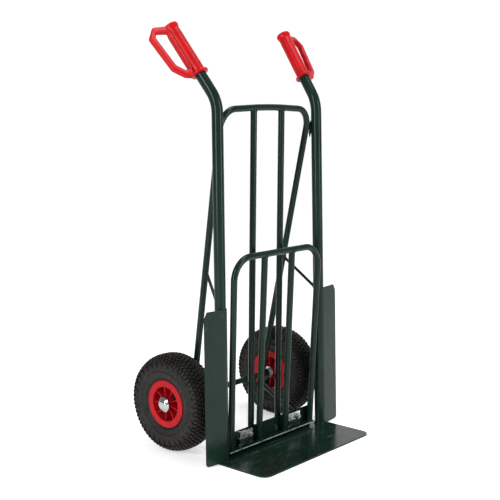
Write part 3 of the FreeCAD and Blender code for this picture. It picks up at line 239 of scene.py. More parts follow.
def add_piece(name, mesh, finishes, body, smooth=True):
    """Turn a built mesh into a piece that rides on a body."""
    bmesh.ops.recalc_face_normals(mesh, faces=mesh.faces)
    data = bpy.data.meshes.new(name)
    mesh.to_mesh(data)
    mesh.free()
    for finish in finishes:
        data.materials.append(finish)
    if smooth:
        data.shade_smooth()
    piece = bpy.data.objects.new(name, data)
    bpy.context.scene.collection.objects.link(piece)
    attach(piece, body)
    return piece


def add_welds(name, body, runs, thickness=0.0021):
    """One piece that holds several beads; a run is (line, closed)."""
    mesh = bmesh.new()
    for line, closed in runs:
        weld_run(mesh, line, closed, thickness)
    return add_piece(name, mesh, [frame_paint], body)


def upright_line(side_name, height):
    return tube_centre(f"upright_{side_name}", 2, height)


plate_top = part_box("upright_left")[0].z - 0.0003
UPRIGHT_RADIUS = 0.0145
foot_welds = []
for name in SIDES:
    coat(f"upright_{name}", frame_paint)
    low, high = upright_line(name, 0.1), upright_line(name, 0.6)
    up = (high - low).normalized()
    ground = Vector((0, 0, plate_top))
    foot_welds.append((ring_on_flat(low, up, UPRIGHT_RADIUS, ground, Vector((0, 0, 1))), True))
add_welds("welds_of_upright_feet", "frame", foot_welds, 0.0026)


# ---------------------------------------------------------------- back hoop
# One bent tube makes the top bar and both rear legs, which run down to the axle.
# It is welded to the uprights just under its corners, where the tubes touch.

HOOP_RADIUS = 0.0086
HOOP_WELD_HEIGHTS = (0.816, 0.862)


def groove(first, second, first_radius, second_radius, front, bead, heights, steps=40):
    """Line that lies in the groove between two nearly touching upright tubes."""
    line = []
    for i in range(steps + 1):
        height = heights[0] + (heights[1] - heights[0]) * i / steps
        a, b = first(height), second(height)
        gap = b - a
        gap.z = 0
        reach_a, reach_b = first_radius + bead * 0.4, second_radius + bead * 0.4
        along = (gap.length ** 2 + reach_a ** 2 - reach_b ** 2) / (2 * gap.length)
        out = math.sqrt(max(reach_a ** 2 - along ** 2, 0.0))
        unit = gap.normalized()
        square = Vector((-unit.y, unit.x, 0))
        if square.y * front > 0:
            square = -square
        line.append(a + unit * along + square * out)
    return line


coat("back_hoop", frame_paint)
hoop_welds = []
for name, side in SIDES.items():
    def leg(height, side=side):
        return tube_centre("back_hoop", 2, height, side)
    for front in (1, -1):
        run = groove(lambda height, name=name: upright_line(name, height), leg,
                     UPRIGHT_RADIUS, HOOP_RADIUS, front, 0.002, HOOP_WELD_HEIGHTS)
        hoop_welds.append((run, False))
add_welds("welds_of_hoop_and_uprights", "frame", hoop_welds, 0.0032)


# ---------------------------------------------------------------- back bars
# Two straight tubes between the legs carry the load. Each is shaped to fit under
# the hoop's top bar and welded there, and is welded at its foot to the toe plate.

def ring_on_round(start, along, radius, point, axis, round_radius, steps=72):
    """Line where a tube's outside meets the round bar that it ends on."""
    across = along.orthogonal().normalized()
    other = along.cross(across)
    line = []
    for i in range(steps):
        angle = 2 * math.pi * i / steps
        side = start + (across * math.cos(angle) + other * math.sin(angle)) * radius
        offset = side - point
        flat_offset = offset - axis * offset.dot(axis)
        flat_along = along - axis * along.dot(axis)
        square = flat_along.dot(flat_along)
        half = flat_offset.dot(flat_along)
        rest = flat_offset.dot(flat_offset) - round_radius ** 2
        reach = (-half - math.sqrt(max(half * half - square * rest, 0.0))) / square
        line.append(side + along * reach)
    return line


ACROSS = Vector((1, 0, 0))
BAR_WELD_LOW = 0.014
BAR_WELD_SIDE = 0.0042
bar_welds = []
for name in SIDES:
    node = f"back_bar_{name}"
    coat(node, frame_paint)
    low, high = tube_centre(node, 2, 0.1), tube_centre(node, 2, 0.8)
    up = (high - low).normalized()
    top_bar = tube_centre("back_hoop", 0, high.x)
    bar_welds.append((ring_on_round(high, up, HOOP_RADIUS, top_bar, ACROSS, HOOP_RADIUS), True))
    weld_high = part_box("toe_plate")[1].z - 0.002
    back_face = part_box("toe_plate")[1].y + 0.0006
    for edge in (-1, 1):
        run = []
        for i in range(41):
            height = BAR_WELD_LOW + (weld_high - BAR_WELD_LOW) * i / 40
            centre = low + up * ((height - low.z) / up.z)
            run.append(Vector((centre.x + edge * BAR_WELD_SIDE, back_face, height)))
        bar_welds.append((run, False))
add_welds("welds_of_back_bars", "frame", bar_welds, 0.0018)


# ---------------------------------------------------------------- struts
# A thin rod on each side ties the upright to the hoop's rear leg.
# Both of its ends are cut to fit the tubes and welded.

STRUT_RADIUS = 0.004
strut_welds = []
for name, side in SIDES.items():
    node = f"strut_{name}"
    coat(node, frame_paint)
    box_low, box_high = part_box(node)
    low = tube_centre(node, 2, box_low.z * 0.75 + box_high.z * 0.25)
    high = tube_centre(node, 2, box_low.z * 0.25 + box_high.z * 0.75)
    along = (high - low).normalized()
    leg_low = tube_centre("back_hoop", 2, high.z - 0.1, side)
    leg_axis = (tube_centre("back_hoop", 2, high.z + 0.1, side) - leg_low).normalized()
    upright_low = upright_line(name, low.z - 0.1)
    upright_axis = (upright_line(name, low.z + 0.1) - upright_low).normalized()
    strut_welds.append((ring_on_round(low, along, STRUT_RADIUS, leg_low, leg_axis,
                                      HOOP_RADIUS, 48), True))
    strut_welds.append((ring_on_round(high, -along, STRUT_RADIUS, upright_low, upright_axis,
                                      UPRIGHT_RADIUS, 48), True))
add_welds("welds_of_struts", "frame", strut_welds, 0.0016)


# ---------------------------------------------------------------- axle and what holds it
# A steel axle lies under the hoop's feet and is painted with the frame. A plate hangs
# from it at each side, and a tube stays each plate to the edge of the toe plate.

def bare_steel(name, colour, rough=(0.28, 0.45), grain=(1, 1, 1), metal_tint=0.75):
    """Bare or plated metal with a faint mottle and the marks of its making."""
    finish, tree, shader = new_finish(name, 0.35, metal=1.0)
    darker = tuple(value * metal_tint for value in colour)
    colour_mix = mixed(tree, between(tree, cloud(tree, 60, 4.0), 0.35, 0.68), darker, colour)
    tree.links.new(colour_mix, shader.inputs["Base Color"])
    marks = cloud(tree, 300, 3.0, grain)
    tree.links.new(between(tree, marks, 0.3, 0.7, *rough), shader.inputs["Roughness"])
    dent(tree, shader, marks, 0.00003)
    return finish


coat("axle", frame_paint)
AXLE_RADIUS = 0.008
axle_centre = (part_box("axle")[0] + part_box("axle")[1]) / 2
axle_welds = []
for name, side in SIDES.items():
    coat(f"axle_plate_{name}", frame_paint)
    coat(f"axle_stay_{name}", frame_paint)
    low = tube_centre("back_hoop", 2, 0.16, side)
    high = tube_centre("back_hoop", 2, 0.4, side)
    down = (low - high).normalized()
    axle_welds.append((ring_on_round(low, down, HOOP_RADIUS, axle_centre, ACROSS,
                                     AXLE_RADIUS), True))
    stay = f"axle_stay_{name}"
    front, back = tube_centre(stay, 1, 0.04), tube_centre(stay, 1, 0.10)
    forward = (front - back).normalized()
    upstand_back = Vector((0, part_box("toe_plate")[1].y, 0))
    axle_welds.append((ring_on_flat(front, forward, HOOP_RADIUS, upstand_back,
                                    Vector((0, 1, 0))), True))
add_welds("welds_of_axle", "frame", axle_welds, 0.0021)


# ---------------------------------------------------------------- guards
# A folded sheet wraps the front of each upright and spreads into a flat wing that
# keeps the load off the tyre. Short welds hold its inner edge to the tube.

guard_paint = green_paint("green_paint_of_guards", scuffs=0.1, dust=0.2)
GUARD_WELD_STARTS = (0.035, 0.20, 0.35)
GUARD_WELD_LENGTH = 0.022
guard_welds = []
for name, side in SIDES.items():
    coat(f"guard_{name}", guard_paint)
    soften(f"guard_{name}", 0.0004)
    for start in GUARD_WELD_STARTS:
        run = []
        for i in range(31):
            height = start + GUARD_WELD_LENGTH * i / 30
            centre = upright_line(name, height)
            run.append(centre + Vector((-side * (UPRIGHT_RADIUS + 0.0008), 0.0034, 0)))
        guard_welds.append((run, False))
add_welds("welds_of_guards", "frame", guard_welds, 0.0020)


# ---------------------------------------------------------------- hinge brackets
# Two pressed and zinc plated brackets bolt to the folded-up edge of the toe plate.
# Each holds a steel pin; a hexagon bolt goes through from behind, with a nut in front.

PAINT_AND_SHADE_LINE = 0.037
THREAD_CREST = 0.00402
THREAD_ROOT = 0.0035
THREAD_PITCH = 0.00125
THREAD_TURNS = 2.2
THREAD_START = 0.0001


def zinc_with_paint_and_shade_below():
    """Zinc plate whose lower half is dark paint colour, standing partly for the frame's paint on
    it and partly for painted shade below its top.
    """
    finish, tree, shader = new_finish("zinc_with_paint_and_shade_below", 0.3)
    where = tree.nodes.new("ShaderNodeTexCoord")
    split = tree.nodes.new("ShaderNodeSeparateXYZ")
    tree.links.new(where.outputs["Object"], split.inputs["Vector"])
    ragged = tree.nodes.new("ShaderNodeMath")
    ragged.operation = "MULTIPLY_ADD"
    ragged.inputs[1].default_value = 0.006
    tree.links.new(cloud(tree, 160, 3.0), ragged.inputs[0])
    tree.links.new(split.outputs["Z"], ragged.inputs[2])
    bare = between(tree, ragged.outputs["Value"], PAINT_AND_SHADE_LINE + 0.0025, PAINT_AND_SHADE_LINE + 0.0035)
    mottle = mixed(tree, between(tree, cloud(tree, 140, 4.0), 0.35, 0.65),
                   (0.42, 0.43, 0.44), (0.86, 0.87, 0.88))
    # the lower part takes the darkest paint colour, which stands for paint and painted shade
    # together
    tree.links.new(mixed(tree, bare, PAINT_DEEP, mottle), shader.inputs["Base Color"])
    tree.links.new(bare, shader.inputs["Metallic"])
    tree.links.new(between(tree, cloud(tree, 90, 4.0), 0.3, 0.7, 0.16, 0.4),
                   shader.inputs["Roughness"])
    dent(tree, shader, cloud(tree, 260, 3.0), 0.0002)
    return finish


zinc = bare_steel("zinc_plate", (0.80, 0.81, 0.82), rough=(0.2, 0.42), metal_tint=0.62)
bracket_zinc_shaded_below = zinc_with_paint_and_shade_below()
pin_steel = bare_steel("pin_steel", (0.55, 0.55, 0.54), grain=(3, 0.4, 0.4))
for name in SIDES:
    coat(f"hinge_bracket_{name}", bracket_zinc_shaded_below)
    soften(f"hinge_bracket_{name}", 0.0004)
    coat(f"hinge_pin_{name}", pin_steel)
    coat(f"hinge_bolt_{name}", zinc)
    coat(f"hinge_nut_{name}", zinc)
    bolt_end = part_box(f"hinge_bolt_{name}")[0].y
    nut_low, nut_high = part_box(f"hinge_nut_{name}")
    centre_x, centre_z = (nut_low.x + nut_high.x) / 2, (nut_low.z + nut_high.z) / 2
    thread = bmesh.new()
    around = 24
    rings = []
    for i in range(int(THREAD_TURNS * around) + 1):
        angle = 2 * math.pi * i / around
        travel = bolt_end + THREAD_START + THREAD_PITCH * i / around
        direction = Vector((math.cos(angle), 0, math.sin(angle)))
        middle = Vector((centre_x, travel, centre_z))
        rings.append([
            thread.verts.new(middle + direction * radius + Vector((0, THREAD_PITCH * ahead, 0)))
            for radius, ahead in ((THREAD_ROOT, 0), (THREAD_CREST, 0.25), (THREAD_ROOT, 0.5))])
    for first, second in zip(rings, rings[1:]):
        for j in range(3):
            k = (j + 1) % 3
            thread.faces.new((first[j], first[k], second[k], second[j]))
    thread.faces.new(rings[0])
    thread.faces.new(rings[-1])
    add_piece(f"bolt_thread_{name}", thread, [zinc], "frame")


# ---------------------------------------------------------------- fold-down frame
# A smaller hoop with two straight bars stands on a flat rail that hinges at the toe
# plate, so that it can fold down over the plate. Every joint in it is welded.

fold_welds = []
rail_low, rail_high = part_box("fold_rail")
for node in ("fold_hoop", "fold_bar_left", "fold_bar_right",
             "hinge_leaf_left", "hinge_leaf_right"):
    coat(node, frame_paint)


def rail_with_painted_highlight():
    """Paint made lighter in patches on the rail's faces that look forward: a painted highlight
    along its front, standing in for the light it catches.
    """
    finish = green_paint("green_paint_with_painted_highlight", dust=0.5)
    tree = finish.node_tree
    shader = tree.nodes["Principled BSDF"]
    where = tree.nodes.new("ShaderNodeTexCoord")
    split = tree.nodes.new("ShaderNodeSeparateXYZ")
    tree.links.new(where.outputs["Normal"], split.inputs["Vector"])
    highlight_share = tree.nodes.new("ShaderNodeMath")
    highlight_share.operation = "MULTIPLY"
    # the share is largest on faces that look forward, where the painted highlight lies
    tree.links.new(between(tree, split.outputs["Y"], -0.5, -0.95), highlight_share.inputs[0])
    tree.links.new(between(tree, cloud(tree, 55, 4.0), 0.38, 0.5, 0.25, 1), highlight_share.inputs[1])
    painted = shader.inputs["Base Color"].links[0].from_socket
    tree.links.new(mixed(tree, highlight_share.outputs["Value"], painted, (0.42, 0.45, 0.43)),
                   shader.inputs["Base Color"])
    return finish


coat("fold_rail", rail_with_painted_highlight())
soften("fold_rail", 0.0005)
for name, side in SIDES.items():
    bar_low = tube_centre(f"fold_bar_{name}", 2, 0.1)
    bar_high = tube_centre(f"fold_bar_{name}", 2, 0.4)
    up = (bar_high - bar_low).normalized()
    top_bar = tube_centre("fold_hoop", 0, bar_high.x)
    fold_welds.append((ring_on_round(bar_high, up, HOOP_RADIUS, top_bar, ACROSS,
                                     HOOP_RADIUS), True))
    leg_low = tube_centre("fold_hoop", 2, 0.1, side)
    leg_high = tube_centre("fold_hoop", 2, 0.3, side)
    leg_up = (leg_high - leg_low).normalized()
    tilt_up = Vector((0, up.y, up.z)).normalized()
    rail_face = Vector((0, (rail_low.y + rail_high.y) / 2, rail_high.z - 0.0003))
    for start, direction in ((bar_low, up), (leg_low, leg_up)):
        fold_welds.append((ring_on_flat(start, direction, HOOP_RADIUS, rail_face, tilt_up), True))
add_welds("welds_of_fold_frame", "fold_frame", fold_welds, 0.0019)


# ---------------------------------------------------------------- rims
# Each rim is one moulding in red plastic: a flanged ring, a thin disc and nine ribs
# round a hub. A rubber valve with a black cap stands in one of the gaps.

def moulded_plastic(name, colour, rough=(0.28, 0.42), grain=0.00004, fade=0.82, coating=0.15):
    """Moulded plastic: nearly even colour, fine skin texture, a little dulling."""
    finish, tree, shader = new_finish(name, 0.35, coat=coating, coat_roughness=0.2)
    shader.inputs["Specular IOR Level"].default_value = 0.12
    darker = tuple(value * fade for value in colour)
    tint = mixed(tree, between(tree, cloud(tree, 30, 3.0), 0.35, 0.7), darker, colour)
    tree.links.new(tint, shader.inputs["Base Color"])
    tree.links.new(between(tree, cloud(tree, 70, 4.0), 0.3, 0.7, *rough),
                   shader.inputs["Roughness"])
    dent(tree, shader, cloud(tree, 900, 2.0), grain)
    return finish


rim_red = moulded_plastic("red_rim_plastic", (0.44, 0.006, 0.012), coating=0.0)
valve_rubber = moulded_plastic("valve_rubber", (0.018, 0.018, 0.018), rough=(0.55, 0.75))
cap_black = moulded_plastic("black_cap_plastic", (0.015, 0.015, 0.016), rough=(0.4, 0.55))
for name in SIDES:
    coat(f"rim_{name}", rim_red)
    coat(f"valve_stem_{name}", valve_rubber)
    coat(f"valve_cap_{name}", cap_black)
    coat(f"inner_tube_{name}", valve_rubber)


# ---------------------------------------------------------------- tyres
# Pneumatic tyres in black rubber, with smooth sidewalls and rows of small square knobs.
# The knobs are moulded with the carcass, and run down over its shoulders.

def worn_rubber(name, colour, dust_colour, dust_share):
    """Black rubber greyed by dust, matt, with a fine moulded skin."""
    finish, tree, shader = new_finish(name, 0.75)
    shader.inputs["Specular IOR Level"].default_value = 0.25
    grime = between(tree, cloud(tree, 45, 5.0), 0.35, 0.75, 0, dust_share)
    tree.links.new(mixed(tree, grime, colour, dust_colour), shader.inputs["Base Color"])
    tree.links.new(between(tree, cloud(tree, 120, 3.0), 0.3, 0.7, 0.45, 0.7),
                   shader.inputs["Roughness"])
    dent(tree, shader, cloud(tree, 700, 3.0), 0.0001)
    return finish


sidewall_rubber = worn_rubber("sidewall_rubber", (0.0085, 0.0075, 0.0070),
                              (0.022, 0.019, 0.017), 0.6)
tread_rubber = worn_rubber("tread_rubber", (0.006, 0.0055, 0.005),
                           (0.026, 0.022, 0.017), 0.7)

TYRE_HALF = 0.0407
TYRE_LIMIT = 0.0424
TYRE_WIDEST = 0.096
KNOB_HEIGHT = 0.0036
SHOULDER_EXTRA = 0.0012
KNOBS_ROUND = 66
# each row's distance from the middle, width, share of the pitch that it fills, and lean
KNOB_ROWS = ((0.0, 0.0068, 0.62, 0.0), (0.0100, 0.0066, 0.60, 0.0012),
             (0.0198, 0.0066, 0.60, 0.0012), (0.0296, 0.0070, 0.58, 0.0008),
             (0.0398, 0.0090, 0.56, 0.0), (0.0512, 0.0086, 0.52, 0.0))
tyre_low, tyre_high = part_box("tyre_left")
TYRE_RADIUS = (tyre_high.z - tyre_low.z) / 2
CARCASS_TOP = TYRE_RADIUS - KNOB_HEIGHT - 0.0001
FLANGE_RADIUS = (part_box("rim_left")[1].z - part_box("rim_left")[0].z) / 2


def carcass_half():
    """Outside of the tyre from the middle of the tread to the bead: (along axle, radius)."""
    line = []
    for i in range(31):
        angle = math.radians(90 - 3 * i)
        power = 0.76
        across = TYRE_HALF * max(math.cos(angle), 0.0) ** power
        radius = TYRE_WIDEST + (CARCASS_TOP - TYRE_WIDEST) * math.sin(angle) ** power
        line.append((across, radius))
    bead_across, bead_radius = 0.0311, FLANGE_RADIUS + 0.0008
    for i in range(1, 46):
        angle = math.radians(2 * i)
        across = bead_across + (TYRE_HALF - bead_across) * math.cos(angle)
        radius = TYRE_WIDEST - (TYRE_WIDEST - bead_radius) * math.sin(angle)
        # two rings are moulded round the sidewall
        for ring, rise, spread in ((0.0850, 0.0026, 0.0024), (0.0700, 0.0014, 0.0014)):
            across += rise * math.exp(-((radius - ring) / spread) ** 2)
        line.append((min(across, TYRE_LIMIT), radius))
    return line


half = carcass_half()
distances = [0.0]
for first, second in zip(half, half[1:]):
    distances.append(distances[-1] + math.dist(first, second))


def tread_place(distance):
    """Point and outward direction at a distance from the tread's middle, over one side."""
    side = 1 if distance >= 0 else -1
    distance = abs(distance)
    i = next(k for k in range(1, len(distances)) if distances[k] >= distance)
    share = (distance - distances[i - 1]) / (distances[i] - distances[i - 1])
    start, stop = Vector(half[i - 1]), Vector(half[i])
    run = (stop - start).normalized()
    point = start.lerp(stop, share)
    return Vector((side * point.x, point.y)), Vector((side * -run.y, run.x))


def on_wheel(across, radius, angle):
    return Vector((across, radius * math.sin(angle), radius * math.cos(angle)))


def knob(mesh, distance, width, angle, length, lean, height):
    """One knob: a small block with sloping sides and broken edges, sunk in the carcass."""
    levels = ((-0.0010, 1.12), (height - 0.0006, 0.98), (height, 0.82))
    rings = []
    for level, scale in levels:
        ring = []
        for u, v in ((-1, -1), (1, -1), (1, 1), (-1, 1)):
            place, out = tread_place(distance + u * width / 2 * scale)
            spot = place + out * level
            turn = angle + (v * length / 2 * scale + u * lean) / spot.y
            spot.x = max(-TYRE_LIMIT, min(TYRE_LIMIT, spot.x))
            ring.append(mesh.verts.new(on_wheel(spot.x, spot.y, turn)))
        rings.append(ring)
    for lower, upper in zip(rings, rings[1:]):
        for j in range(4):
            k = (j + 1) % 4
            mesh.faces.new((lower[j], lower[k], upper[k], upper[j])).material_index = 1
    mesh.faces.new(rings[-1]).material_index = 1
    mesh.faces.new(rings[0]).material_index = 1


def make_tyre(name):
    """A tyre turned round its axle, with knobs set on it, in place of the plain one."""
    mesh = bmesh.new()
    around = 144
    bead_foot = 0.0503
    inside = [(0.0262, 0.1212), (0.0357, 0.1078), (0.0357, 0.0776), (0.0232, 0.0656),
              (0.0232, bead_foot)]
    outside = half + [(0.0304, FLANGE_RADIUS - 0.0005), (0.0304, bead_foot)]
    right = [(-across, radius) for across, radius in outside[1:]]
    loop = list(reversed(right)) + outside + list(reversed(inside))
    loop += [(-across, radius) for across, radius in inside]
    rings = [[mesh.verts.new(on_wheel(across, radius, 2 * math.pi * i / around))
              for across, radius in loop] for i in range(around)]
    for i in range(around):
        first, second = rings[i], rings[(i + 1) % around]
        for j in range(len(loop)):
            k = (j + 1) % len(loop)
            face = mesh.faces.new((first[j], first[k], second[k], second[j]))
            face.material_index = 1 if loop[j][1] > 0.1105 else 0
            face.smooth = True
    pitch = 2 * math.pi / KNOBS_ROUND
    for number, (distance, width, share, lean) in enumerate(KNOB_ROWS):
        for flank in ((1,) if distance == 0 else (-1, 1)):
            shift = 0.5 * (number % 2) + (0.25 if flank < 0 else 0.0)
            for i in range(KNOBS_ROUND):
                # the outermost row has half as many
                if number == 5 and i % 2:
                    continue
                angle = (i + shift) * pitch
                knob(mesh, flank * distance, width, angle, share * pitch * TYRE_RADIUS,
                     flank * lean, KNOB_HEIGHT + (SHOULDER_EXTRA if number > 3 else 0.0))
    centre = (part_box(f"tyre_{name}")[0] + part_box(f"tyre_{name}")[1]) / 2
    bmesh.ops.translate(mesh, verts=mesh.verts, vec=centre)
    piece = add_piece(f"knobbed_tyre_{name}", mesh, [sidewall_rubber, tread_rubber],
                      f"wheel_{name}", smooth=False)
    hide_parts(f"tyre_{name}")
    return piece


for name in SIDES:
    make_tyre(name)


# ---------------------------------------------------------------- bearings and hub caps
# Steel rollers in a white nylon cage run between the axle and each hub. Zinc plated
# washers and a spacer collar keep the wheel in place, and a chromed cap closes its end.

cage_nylon = moulded_plastic("cage_nylon", (0.72, 0.72, 0.68), rough=(0.35, 0.5))
chrome = bare_steel("chrome", (0.50, 0.51, 0.52), rough=(0.1, 0.2), metal_tint=0.8)
for name in SIDES:
    coat(f"roller_cage_{name}", cage_nylon)
    coat(f"rollers_{name}", pin_steel)
    coat(f"inner_washer_{name}", zinc)
    coat(f"outer_washer_{name}", zinc)
    coat(f"spacer_collar_{name}", zinc)
    coat(f"hub_cap_{name}", chrome)


# ---------------------------------------------------------------- grips
# A red plastic grip is pushed over each handle: a ribbed sleeve with a flange below
# and a closed flared end, moulded in one with a loop that guards the hand.

grip_red = moulded_plastic("red_grip_plastic", (0.52, 0.005, 0.009), rough=(0.24, 0.38),
                           coating=0.1)

GRIP_LENGTH = 0.149
GRIP_END_WALL = 0.005
SLEEVE_RADIUS = 0.01715
LOOP_THICK = 0.015
LOOP_TILT = {"left": math.radians(16), "right": math.radians(8)}
# corners as (up the handle, outwards, rounding), in metres
LOOP_OUTSIDE = ((0.1482, 0.010, 0), (0.154, 0.054, 0.008), (0.128, 0.078, 0.010),
                (0.030, 0.0675, 0.014), (0.0035, 0.044, 0.014), (-0.003, 0.027, 0.008),
                (-0.003, 0.0225, 0.002), (0.003, 0.0165, 0), (0.120, 0.0165, 0),
                (0.138, 0.010, 0))
LOOP_OPENING = ((0.019, 0.021, 0.003), (0.020, 0.036, 0.005), (0.039, 0.052, 0.008),
                (0.124, 0.061, 0.006), (0.137, 0.052, 0.005), (0.130, 0.021, 0.004))


def rounded_outline(corners, steps=6):
    """Corners with arcs where a rounding is given, as points (outwards, up)."""
    line = []
    places = [Vector((out, up)) for up, out, rounding in corners]
    for i, (up, out, rounding) in enumerate(corners):
        here = places[i]
        if not rounding:
            line.append(here)
            continue
        back = (places[i - 1] - here).normalized()
        ahead = (places[(i + 1) % len(places)] - here).normalized()
        half_angle = back.angle(ahead) / 2
        trim = rounding / math.tan(half_angle)
        centre = here + (back + ahead).normalized() * (rounding / math.sin(half_angle))
        first, last = here + back * trim - centre, here + ahead * trim - centre
        for j in range(steps + 1):
            line.append(centre + first.slerp(last, j / steps) * rounding)
    return line


def loop_curve(name):
    """The hand guard: its outline and opening, given thickness and round edges."""
    edge = 0.0045
    flat = bpy.data.curves.new(name, "CURVE")
    flat.dimensions = "2D"
    flat.fill_mode = "BOTH"
    flat.extrude = LOOP_THICK / 2 - edge
    flat.bevel_depth = edge
    flat.bevel_resolution = 4
    flat.offset = -edge
    for corners in (LOOP_OUTSIDE, LOOP_OPENING):
        line = rounded_outline(corners)
        spline = flat.splines.new("POLY")
        spline.points.add(len(line) - 1)
        for point, place in zip(spline.points, line):
            point.co = (place.x, place.y, 0, 1)
        spline.use_cyclic_u = True
    return flat


def sleeve_profile():
    """Outside of the sleeve from its flange to its closed end, as (radius, up)."""
    line = [(0.0147, 0.0), (0.0215, 0.0), (0.0226, 0.0005), (0.0230, 0.0015),
            (0.0230, 0.0030), (0.0226, 0.0040), (0.0212, 0.0046), (0.0186, 0.0050),
            (0.0175, 0.0062)]
    ribs_low, ribs_high, pitch = 0.022, 0.126, 0.0033
    steps = 190
    for i in range(steps + 1):
        up = 0.008 + (0.134 - 0.008) * i / steps
        ripple = 0.5 - 0.5 * math.cos(2 * math.pi * up / pitch)
        rib = 0.00028 * ripple if ribs_low < up < ribs_high else 0.0
        line.append((SLEEVE_RADIUS + rib - 0.0001, up))
    line += [(0.0176, 0.1372), (0.0188, 0.1404), (0.0196, 0.1432), (0.01985, 0.1458),
             (0.0197, 0.1476), (0.0190, 0.1486), (0.0170, 0.1490), (0.0, 0.1490)]
    return line


def sleeve_mesh():
    """The sleeve turned round its own axis, hollow up to its closed end."""
    mesh = bmesh.new()
    around = 72
    line = sleeve_profile()
    line += [(0.0, GRIP_LENGTH - GRIP_END_WALL), (0.0147, GRIP_LENGTH - GRIP_END_WALL)]
    rings = []
    for radius, up in line:
        if radius == 0.0:
            rings.append([mesh.verts.new((0, 0, up))])
            continue
        rings.append([mesh.verts.new((radius * math.cos(2 * math.pi * i / around),
                                      radius * math.sin(2 * math.pi * i / around), up))
                      for i in range(around)])
    for lower, upper in zip(rings, rings[1:] + rings[:1]):
        for i in range(around):
            k = (i + 1) % around
            corners = [lower[i % len(lower)], lower[k % len(lower)],
                       upper[k % len(upper)], upper[i % len(upper)]]
            kept = list(dict.fromkeys(corners))
            if len(kept) > 2:
                mesh.faces.new(kept)
    bmesh.ops.recalc_face_normals(mesh, faces=mesh.faces)
    return mesh


def make_grip(name, side):
    """A grip laid along its handle, its guard turned outwards, in place of the plain one."""
    low, high = upright_line(name, 0.99), upright_line(name, 1.07)
    up = (high - low).normalized()
    tube_end = max((vertex.co - low).dot(up) for vertex in nodes[f"upright_{name}"].data.vertices)
    start = low + up * (tube_end - (GRIP_LENGTH - GRIP_END_WALL))
    outward = Vector((side, 0, 0))
    outward = (outward - up * outward.dot(up)).normalized()
    backward = Vector((0, 1, 0))
    backward = (backward - up * backward.dot(up)).normalized()
    tilt = LOOP_TILT[name]
    reach = (outward * math.cos(tilt) + backward * math.sin(tilt)).normalized()
    square = up.cross(reach)
    # the outline curve turns into a solid in the plane of the guard
    curve = bpy.data.objects.new("hand_guard_outline", loop_curve("hand_guard"))
    bpy.context.scene.collection.objects.link(curve)
    bpy.context.view_layer.update()
    solid = bpy.data.meshes.new_from_object(
        curve.evaluated_get(bpy.context.evaluated_depsgraph_get()))
    solid.transform(Matrix(((1, 0, 0, 0), (0, 0, -1, 0), (0, 1, 0, 0), (0, 0, 0, 1))))
    bpy.data.objects.remove(curve)
    grip = sleeve_mesh()
    grip.from_mesh(solid)
    bmesh.ops.remove_doubles(grip, verts=grip.verts, dist=0.00001)
    bmesh.ops.transform(grip, verts=grip.verts, matrix=Matrix((
        (reach.x, square.x, up.x, start.x),
        (reach.y, square.y, up.y, start.y),
        (reach.z, square.z, up.z, start.z),
        (0, 0, 0, 1))))
    piece = add_piece(f"ribbed_grip_{name}", grip, [grip_red], "frame")
    piece.data.set_sharp_from_angle(angle=math.radians(38))
    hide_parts(f"grip_{name}")
    return piece


for name, side in SIDES.items():
    make_grip(name, side)


# ---------------------------------------------------------------- studio
# The truck stands on pale paper that sweeps up behind it. One soft lamp hangs overhead,
# and two tall narrow ones stand left and right of the camera.

SWEEP_AWAY = Vector((0.7526, 0.6585, 0))
SWEEP_ALONG = Vector((0.6585, -0.7526, 0))
SWEEP_NEAR = -8.0
SWEEP_FAR = 5.0
SWEEP_BEND = 2.0
SWEEP_TOP = 9.0
SWEEP_HALF_WIDTH = 9.0
sweep_line = [(SWEEP_NEAR, 0.0), (SWEEP_FAR, 0.0)]
sweep_line += [(SWEEP_FAR + SWEEP_BEND * math.sin(math.radians(6 * i)),
                SWEEP_BEND - SWEEP_BEND * math.cos(math.radians(6 * i))) for i in range(1, 16)]
sweep_line.append((SWEEP_FAR + SWEEP_BEND, SWEEP_TOP))
floor_mesh = bmesh.new()
edges = [[floor_mesh.verts.new(SWEEP_AWAY * away + SWEEP_ALONG * side + Vector((0, 0, up)))
          for side in (-SWEEP_HALF_WIDTH, SWEEP_HALF_WIDTH)] for away, up in sweep_line]
for first, second in zip(edges, edges[1:]):
    floor_mesh.faces.new((first[0], first[1], second[1], second[0])).smooth = True
floor_data = bpy.data.meshes.new("floor")
floor_mesh.to_mesh(floor_data)
floor_mesh.free()
floor = bpy.data.objects.new("floor", floor_data)
bpy.context.scene.collection.objects.link(floor)
floor.location.z = -0.0005
paper, paper_tree, paper_shader = new_finish("pale_paper", 0.9)
paper_tree.links.new(
    mixed(paper_tree, cloud(paper_tree, 3.0), (0.88, 0.88, 0.88), (0.90, 0.90, 0.90)),
    paper_shader.inputs["Base Color"])
paper_shader.inputs["Emission Color"].default_value = (1, 1, 1, 1)
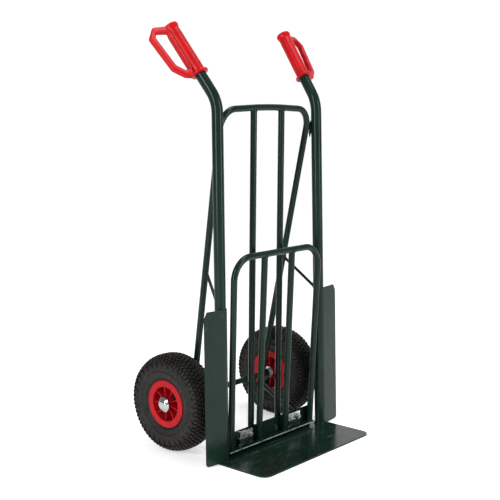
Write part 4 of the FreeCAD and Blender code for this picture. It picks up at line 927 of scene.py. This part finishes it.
paper_shader.inputs["Emission Strength"].default_value = 0.5
paper_shader.inputs["Specular IOR Level"].default_value = 0.0
floor_data.materials.append(paper)

world = bpy.data.worlds.new("studio")
bpy.context.scene.world = world
world.use_nodes = True
world.node_tree.nodes["Background"].inputs["Color"].default_value = (1, 1, 1, 1)
world.node_tree.nodes["Background"].inputs["Strength"].default_value = 0.3
bpy.context.scene.view_settings.view_transform = "Standard"


def lamp(name, place, target, size, power):
    light = bpy.data.lights.new(name, "AREA")
    light.shape = "RECTANGLE"
    light.size, light.size_y = size
    light.energy = power
    thing = bpy.data.objects.new(name, light)
    bpy.context.scene.collection.objects.link(thing)
    thing.location = place
    thing.rotation_euler = (Vector(target) - Vector(place)).to_track_quat("-Z", "Y").to_euler()


lamp("overhead", (0.3, -0.3, 3.0), (0, 0, 0.4), (1.2, 1.2), 28)
lamp("left_of_camera", (-3.0, -0.3, 1.5), (0, 0, 0.6), (0.45, 2.6), 65)
lamp("right_of_camera", (0.9, -3.2, 1.5), (0, 0, 0.6), (0.45, 2.6), 55)

CAMERA_LENS = 71.66
CAMERA_PLACE = (-1.99606, -1.67984, 0.89841)
CAMERA_LOOK = (0.7449, 0.6519, -0.1421)
CAMERA_RIGHT = (0.6586, -0.7525, 0)
CAMERA_ROLL = math.radians(0.152)
camera_data = bpy.data.cameras.new("camera")
camera_data.lens = CAMERA_LENS
camera = bpy.data.objects.new("camera", camera_data)
bpy.context.scene.collection.objects.link(camera)
look = Vector(CAMERA_LOOK).normalized()
right = Vector(CAMERA_RIGHT).normalized()
upward = right.cross(look).normalized()
right, upward = (right * math.cos(CAMERA_ROLL) - upward * math.sin(CAMERA_ROLL),
                 upward * math.cos(CAMERA_ROLL) + right * math.sin(CAMERA_ROLL))
camera.matrix_world = Matrix((
    (right.x, upward.x, -look.x, CAMERA_PLACE[0]),
    (right.y, upward.y, -look.y, CAMERA_PLACE[1]),
    (right.z, upward.z, -look.z, CAMERA_PLACE[2]),
    (0, 0, 0, 1)))
bpy.context.scene.camera = camera
